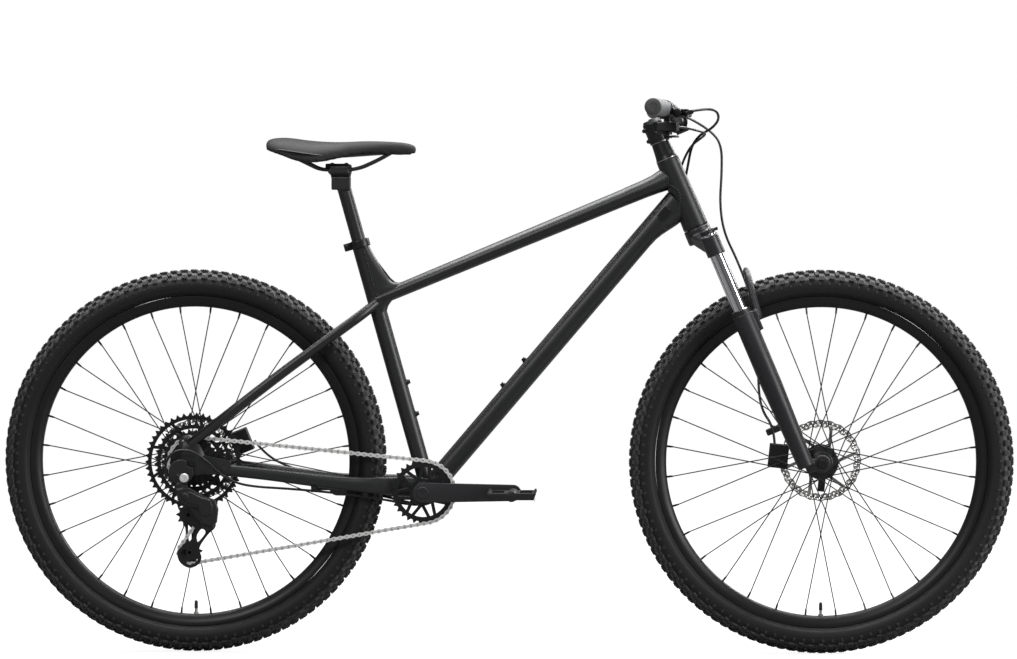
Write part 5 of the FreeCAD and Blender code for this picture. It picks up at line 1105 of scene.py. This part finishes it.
def makeDerailleur():
    low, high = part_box("derailleur_cage")
    guide = Vector(jointNamed["guide_pulley_spin"]["pos_m"])
    tension = Vector(jointNamed["tension_pulley_spin"]["pos_m"])
    bm = bmesh.new()
    plate(bm, [fromAxle(softLoop(cageOuter))] + [fromAxle(softLoop(loop)) for loop in cageWindows],
          low[1], low[1] + 0.0026)
    inner = softLoop([(0.006, -0.100), (-0.009, -0.089), (-0.021, -0.104), (-0.016, -0.140), (-0.025, -0.176),
                      (-0.008, -0.192), (0.010, -0.178), (0.003, -0.140)])
    window = softLoop([(-0.006, -0.122), (-0.011, -0.122), (-0.010, -0.152), (-0.005, -0.152)])
    plate(bm, [fromAxle(inner), fromAxle(window)], high[1] - 0.0020, high[1])
    for spot in (guide, tension):
        middle = Vector((spot.x, low[1], spot.z))
        rod(bm, middle - left * 0.0012, Vector((spot.x, high[1] + 0.0006, spot.z)), 0.0031, segments=20)
        rod(bm, middle - left * 0.0012, middle, 0.0052, 0.0056, 24)
    cage = finishMesh("derailleurCagePlates", bm, anodised)
    useModifier(cage, "BEVEL", width=0.0004, segments=1, limit_method="ANGLE", angle_limit=math.radians(50))
    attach(cage, "cage")
    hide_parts("derailleur_cage")
    bodyLow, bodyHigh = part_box("derailleur_body")
    bm = bmesh.new()
    addNodes(bm, "derailleur_body")
    bmesh.ops.remove_doubles(bm, verts=bm.verts, dist=1e-6)
    plate(bm, [fromAxle(linkOutline)], bodyLow[1] + 0.004, bodyLow[1] + 0.022)
    plate(bm, [fromAxle([(x * 0.72 + 0.004, (z + 0.075) * 0.62 - 0.073) for x, z in linkOutline])],
          bodyLow[1] + 0.002, bodyLow[1] + 0.005)
    links = shell("derailleurLinks", bm, ("derailleur_body",), blackPlastic, "frame", 0.0009, 3)
    bolt = bmesh.new()
    face = bodyLow[1] - 0.0005
    spot = Vector((rearAxle.x - 0.012, 0, rearAxle.z - 0.027))
    lathe(bolt, [(0.0001, face + 0.001), (0.0028, face + 0.001), (0.0034, face), (0.0078, face + 0.0003),
                 (0.0086, face + 0.0012), (0.0086, face + 0.012), (0.0001, face + 0.012)], spot, "Y", 48)
    silver = finishMesh("derailleurBolt", bolt, chainSteel)
    for piece in (links, silver):
        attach(piece, "frame")


makeCassette()
makeChainring()
makePulley("guidePulleyWheel", "guide_pulley", "guide_pulley_spin", "guide_pulley")
makePulley("tensionPulleyWheel", "tension_pulley", "tension_pulley_spin", "tension_pulley")
makeDerailleur()
print("stage: toothed wheels")


# bright rings: seals of the fork and joins of the headset; and the seatpost's forged head

def ringAt(name, foot, along, outline, material, body):
    bm = bmesh.new()
    lathe(bm, outline, Vector(), "Z", 72)
    turnTo(bm, foot, along)
    piece = finishMesh(name, bm, material)
    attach(piece, body)
    return piece


def makeRings():
    sealTop = max((vert.co - headLow).dot(steerUp) for vert in frame["nodes"]["fork_seals"].data.vertices)
    for name, side in (("left", 1), ("right", -1)):
        foot = headLow + steerAhead * 0.016 + left * side * 0.065 + steerUp * (sealTop - 0.0005)
        ringAt(name + "WiperSpring", foot, steerUp, [(0.0143, 0.0), (0.0172, 0.0), (0.0174, 0.0008),
                                                     (0.0166, 0.0020), (0.0143, 0.0020)], chrome, "fork_lower")
    ringAt("upperHeadsetRing", headLow + steerUp * 0.1412, steerUp,
           [(0.0200, 0.0), (0.0222, 0.0), (0.0222, 0.0012), (0.0200, 0.0012)], steel, "frame")
    ringAt("spacerRing", headLow + steerUp * 0.1765, steerUp,
           [(0.0160, 0.0), (0.0190, 0.0), (0.0190, 0.0012), (0.0160, 0.0012)], steel, "steering")


def makeSeatpost():
    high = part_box("seatpost")[1][2]
    bm = bmesh.new()
    addNodes(bm, "seatpost")
    bmesh.ops.remove_doubles(bm, verts=bm.verts, dist=1e-6)
    spots = [vert.co for vert in frame["nodes"]["seatpost"].data.vertices if vert.co.z > high - 0.028]
    rear = min(spot.x for spot in spots)
    front = max(spot.x for spot in spots)
    yoke = [(rear - 0.006, high - 0.002), (rear - 0.007, high - 0.010), (rear + 0.010, high - 0.034),
            (rear + 0.020, high - 0.046), (front - 0.004, high - 0.040), (front + 0.003, high - 0.016),
            (front + 0.002, high - 0.004), (front - 0.010, high - 0.002)]
    plate(bm, [yoke], -0.0130, 0.0130)
    shell("seatpostForged", bm, ("seatpost",), charcoal, "seat", 0.0011, 14)


makeRings()
makeSeatpost()
print("stage: rings and post")


# the saddle: a padded skin over a moulded base

saddleRows = [  # along from the tail, half width, top, skirt
    (-0.003, 0.0400, 0.0535, 0.0385), (0.004, 0.0490, 0.0600, 0.0350), (0.016, 0.0600, 0.0624, 0.0315),
    (0.032, 0.0690, 0.0630, 0.0262), (0.055, 0.0745, 0.0602, 0.0165), (0.075, 0.0738, 0.0574, 0.0120),
    (0.095, 0.0670, 0.0557, 0.0122), (0.115, 0.0575, 0.0547, 0.0155), (0.140, 0.0460, 0.0542, 0.0218),
    (0.165, 0.0360, 0.0552, 0.0262), (0.190, 0.0290, 0.0567, 0.0292), (0.220, 0.0238, 0.0574, 0.0292),
    (0.248, 0.0210, 0.0567, 0.0262), (0.270, 0.0184, 0.0535, 0.0262), (0.283, 0.0150, 0.0490, 0.0275),
    (0.2895, 0.0100, 0.0440, 0.0300)]


def saddleSection(half, top, skirt, along):
    # the padded top falls to a skirt, and a hollow shell closes it underneath
    spots = []
    for step in range(-14, 15):
        share = math.sin(math.pi / 2 * step / 14)
        channel = 0.0040 * math.exp(-(share * half / 0.0085) ** 2) * max(0, math.sin(math.pi * along / 0.286)) ** 0.5
        spots.append((share * half, skirt + (top - skirt) * (1 - abs(share) ** 2.7) ** 0.62 - channel))
    for step in range(13, -14, -1):
        share = math.sin(math.pi / 2 * step / 14)
        spots.append((share * half * 0.90, skirt + 0.0012 + (top - skirt) * 0.30 * (1 - share ** 2)))
    return spots


def makeSaddle():
    low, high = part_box("saddle_cover")
    base = high[2] - 0.063
    bm = bmesh.new()
    rings = [[bm.verts.new((low[0] + along, y, base + z)) for y, z in saddleSection(half, top, skirt, along)]
             for along, half, top, skirt in saddleRows]
    count = len(rings[0])
    for here, there in zip(rings, rings[1:]):
        for step in range(count):
            after = (step + 1) % count
            bm.faces.new((here[step], here[after], there[after], there[step]))
    bm.faces.new(list(reversed(rings[0])))
    bm.faces.new(rings[-1])
    cover = finishMesh("saddleCover", bm, leather, 180)
    useModifier(cover, "SUBSURF", levels=2)
    plumpen(cover)
    cover.data.shade_smooth()
    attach(cover, "seat")
    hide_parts("saddle_cover")
    return cover


def plumpen(piece):
    # foam under a tight skin: a short inflation whose movement is capped
    useModifier(piece, "REMESH", mode="VOXEL", voxel_size=0.0031)
    rest = [vert.co.copy() for vert in piece.data.vertices]
    cloth = piece.modifiers.new("Cloth", "CLOTH")
    cloth.settings.use_pressure = True
    cloth.settings.uniform_pressure_force = 1.2
    cloth.settings.effector_weights.gravity = 0
    cloth.settings.tension_stiffness = 30
    scene = bpy.context.scene
    for step in range(1, 13):
        scene.frame_set(step)
    depsgraph = bpy.context.evaluated_depsgraph_get()
    mesh = bpy.data.meshes.new_from_object(piece.evaluated_get(depsgraph))
    piece.modifiers.clear()
    scene.frame_set(1)
    cap = 0.0015
    for vert, before in zip(mesh.vertices, rest):
        shift = vert.co - before
        if shift.length > cap:
            vert.co = before + shift.normalized() * cap
    piece.data = mesh
    useModifier(piece, "SMOOTH", factor=0.5, iterations=4)
    useModifier(piece, "SUBSURF", levels=1)
    return piece


makeSaddle()
print("stage: saddle")


# studio: a pale floor that meets a pale backdrop, big soft lights

studio = {"roomLight": 0.16, "floorGlow": 0.90, "lights": [  # name, place, aim, width, depth, watts
    ("overheadLight", (0.0, 0.5, 3.6), (0, 0, 0.4), 5.0, 2.2, 330),
    ("frontLight", (-2.2, -5.0, 3.6), (0, 0, 0.5), 2.2, 1.4, 110),
    ("noseLight", (4.2, -2.0, 1.5), (0.4, 0, 0.7), 1.2, 2.2, 120),
    ("rimLight", (2.6, 3.2, 2.6), (0, 0, 0.6), 2.4, 1.6, 90),
    ("floorWash", (0.0, 3.4, 3.4), (0, 4.6, 0), 8.0, 2.0, 60)]}


def makeStudio():
    world = bpy.data.worlds.new("studioWorld")
    bpy.context.scene.world = world
    world.use_nodes = True
    nodes = world.node_tree.nodes
    links = world.node_tree.links
    nodes["Background"].inputs["Color"].default_value = (1, 1, 1, 1)
    ray = nodes.new("ShaderNodeLightPath")
    level = nodes.new("ShaderNodeMapRange")
    level.inputs["To Min"].default_value = studio["roomLight"]
    level.inputs["To Max"].default_value = 1.0
    links.new(ray.outputs["Is Camera Ray"], level.inputs["Value"])
    links.new(level.outputs["Result"], nodes["Background"].inputs["Strength"])
    bm = bmesh.new()
    rows = [[bm.verts.new((x, y, -0.0005)) for x in (-16, 16)] for y in (-14, 6)]
    bm.faces.new((rows[0][0], rows[0][1], rows[1][1], rows[1][0]))
    sweep = bpy.data.materials.new("studioSweep")
    sweep.use_nodes = True
    shader = sweep.node_tree.nodes["Principled BSDF"]
    shader.inputs["Roughness"].default_value = 0.9
    shader.inputs["Specular IOR Level"].default_value = 0.1
    # the floor looks white yet throws little light back up
    shader.inputs["Base Color"].default_value = (0.16, 0.16, 0.16, 1)
    shader.inputs["Emission Color"].default_value = (1, 1, 1, 1)
    look = sweep.node_tree.nodes.new("ShaderNodeLightPath")
    glow = sweep.node_tree.nodes.new("ShaderNodeMapRange")
    glow.inputs["To Min"].default_value = 0.0
    glow.inputs["To Max"].default_value = studio["floorGlow"]
    sweep.node_tree.links.new(look.outputs["Is Camera Ray"], glow.inputs["Value"])
    sweep.node_tree.links.new(glow.outputs["Result"], shader.inputs["Emission Strength"])
    floor = finishMesh("studioFloor", bm, sweep, 180)
    for name, spot, target, width, height, power in studio["lights"]:
        light = bpy.data.lights.new(name, "AREA")
        light.shape = "RECTANGLE"
        light.size = width
        light.size_y = height
        light.energy = power
        lamp = bpy.data.objects.new(name, light)
        lamp.location = spot
        lamp.rotation_euler = (Vector(target) - Vector(spot)).to_track_quat("-Z", "Y").to_euler()
        bpy.context.collection.objects.link(lamp)


camera = {"side": 0.31, "distance": 9.0, "height": 0.96, "aim": Vector((0.0015, 0, 0.628)), "span": 1.975}


def makeCamera():
    lens = bpy.data.cameras.new("studioCamera")
    eye = bpy.data.objects.new("studioCamera", lens)
    spot = Vector((camera["side"], -camera["distance"], camera["height"]))
    away = camera["aim"] - spot
    eye.location = spot
    eye.rotation_euler = away.to_track_quat("-Z", "Y").to_euler()
    lens.sensor_width = 36
    lens.lens = 36 * away.length / camera["span"]
    lens.clip_end = 60
    bpy.context.collection.objects.link(eye)
    bpy.context.scene.camera = eye


makeStudio()
makeCamera()
bpy.context.scene.view_settings.view_transform = "Standard"
print("stage: studio")
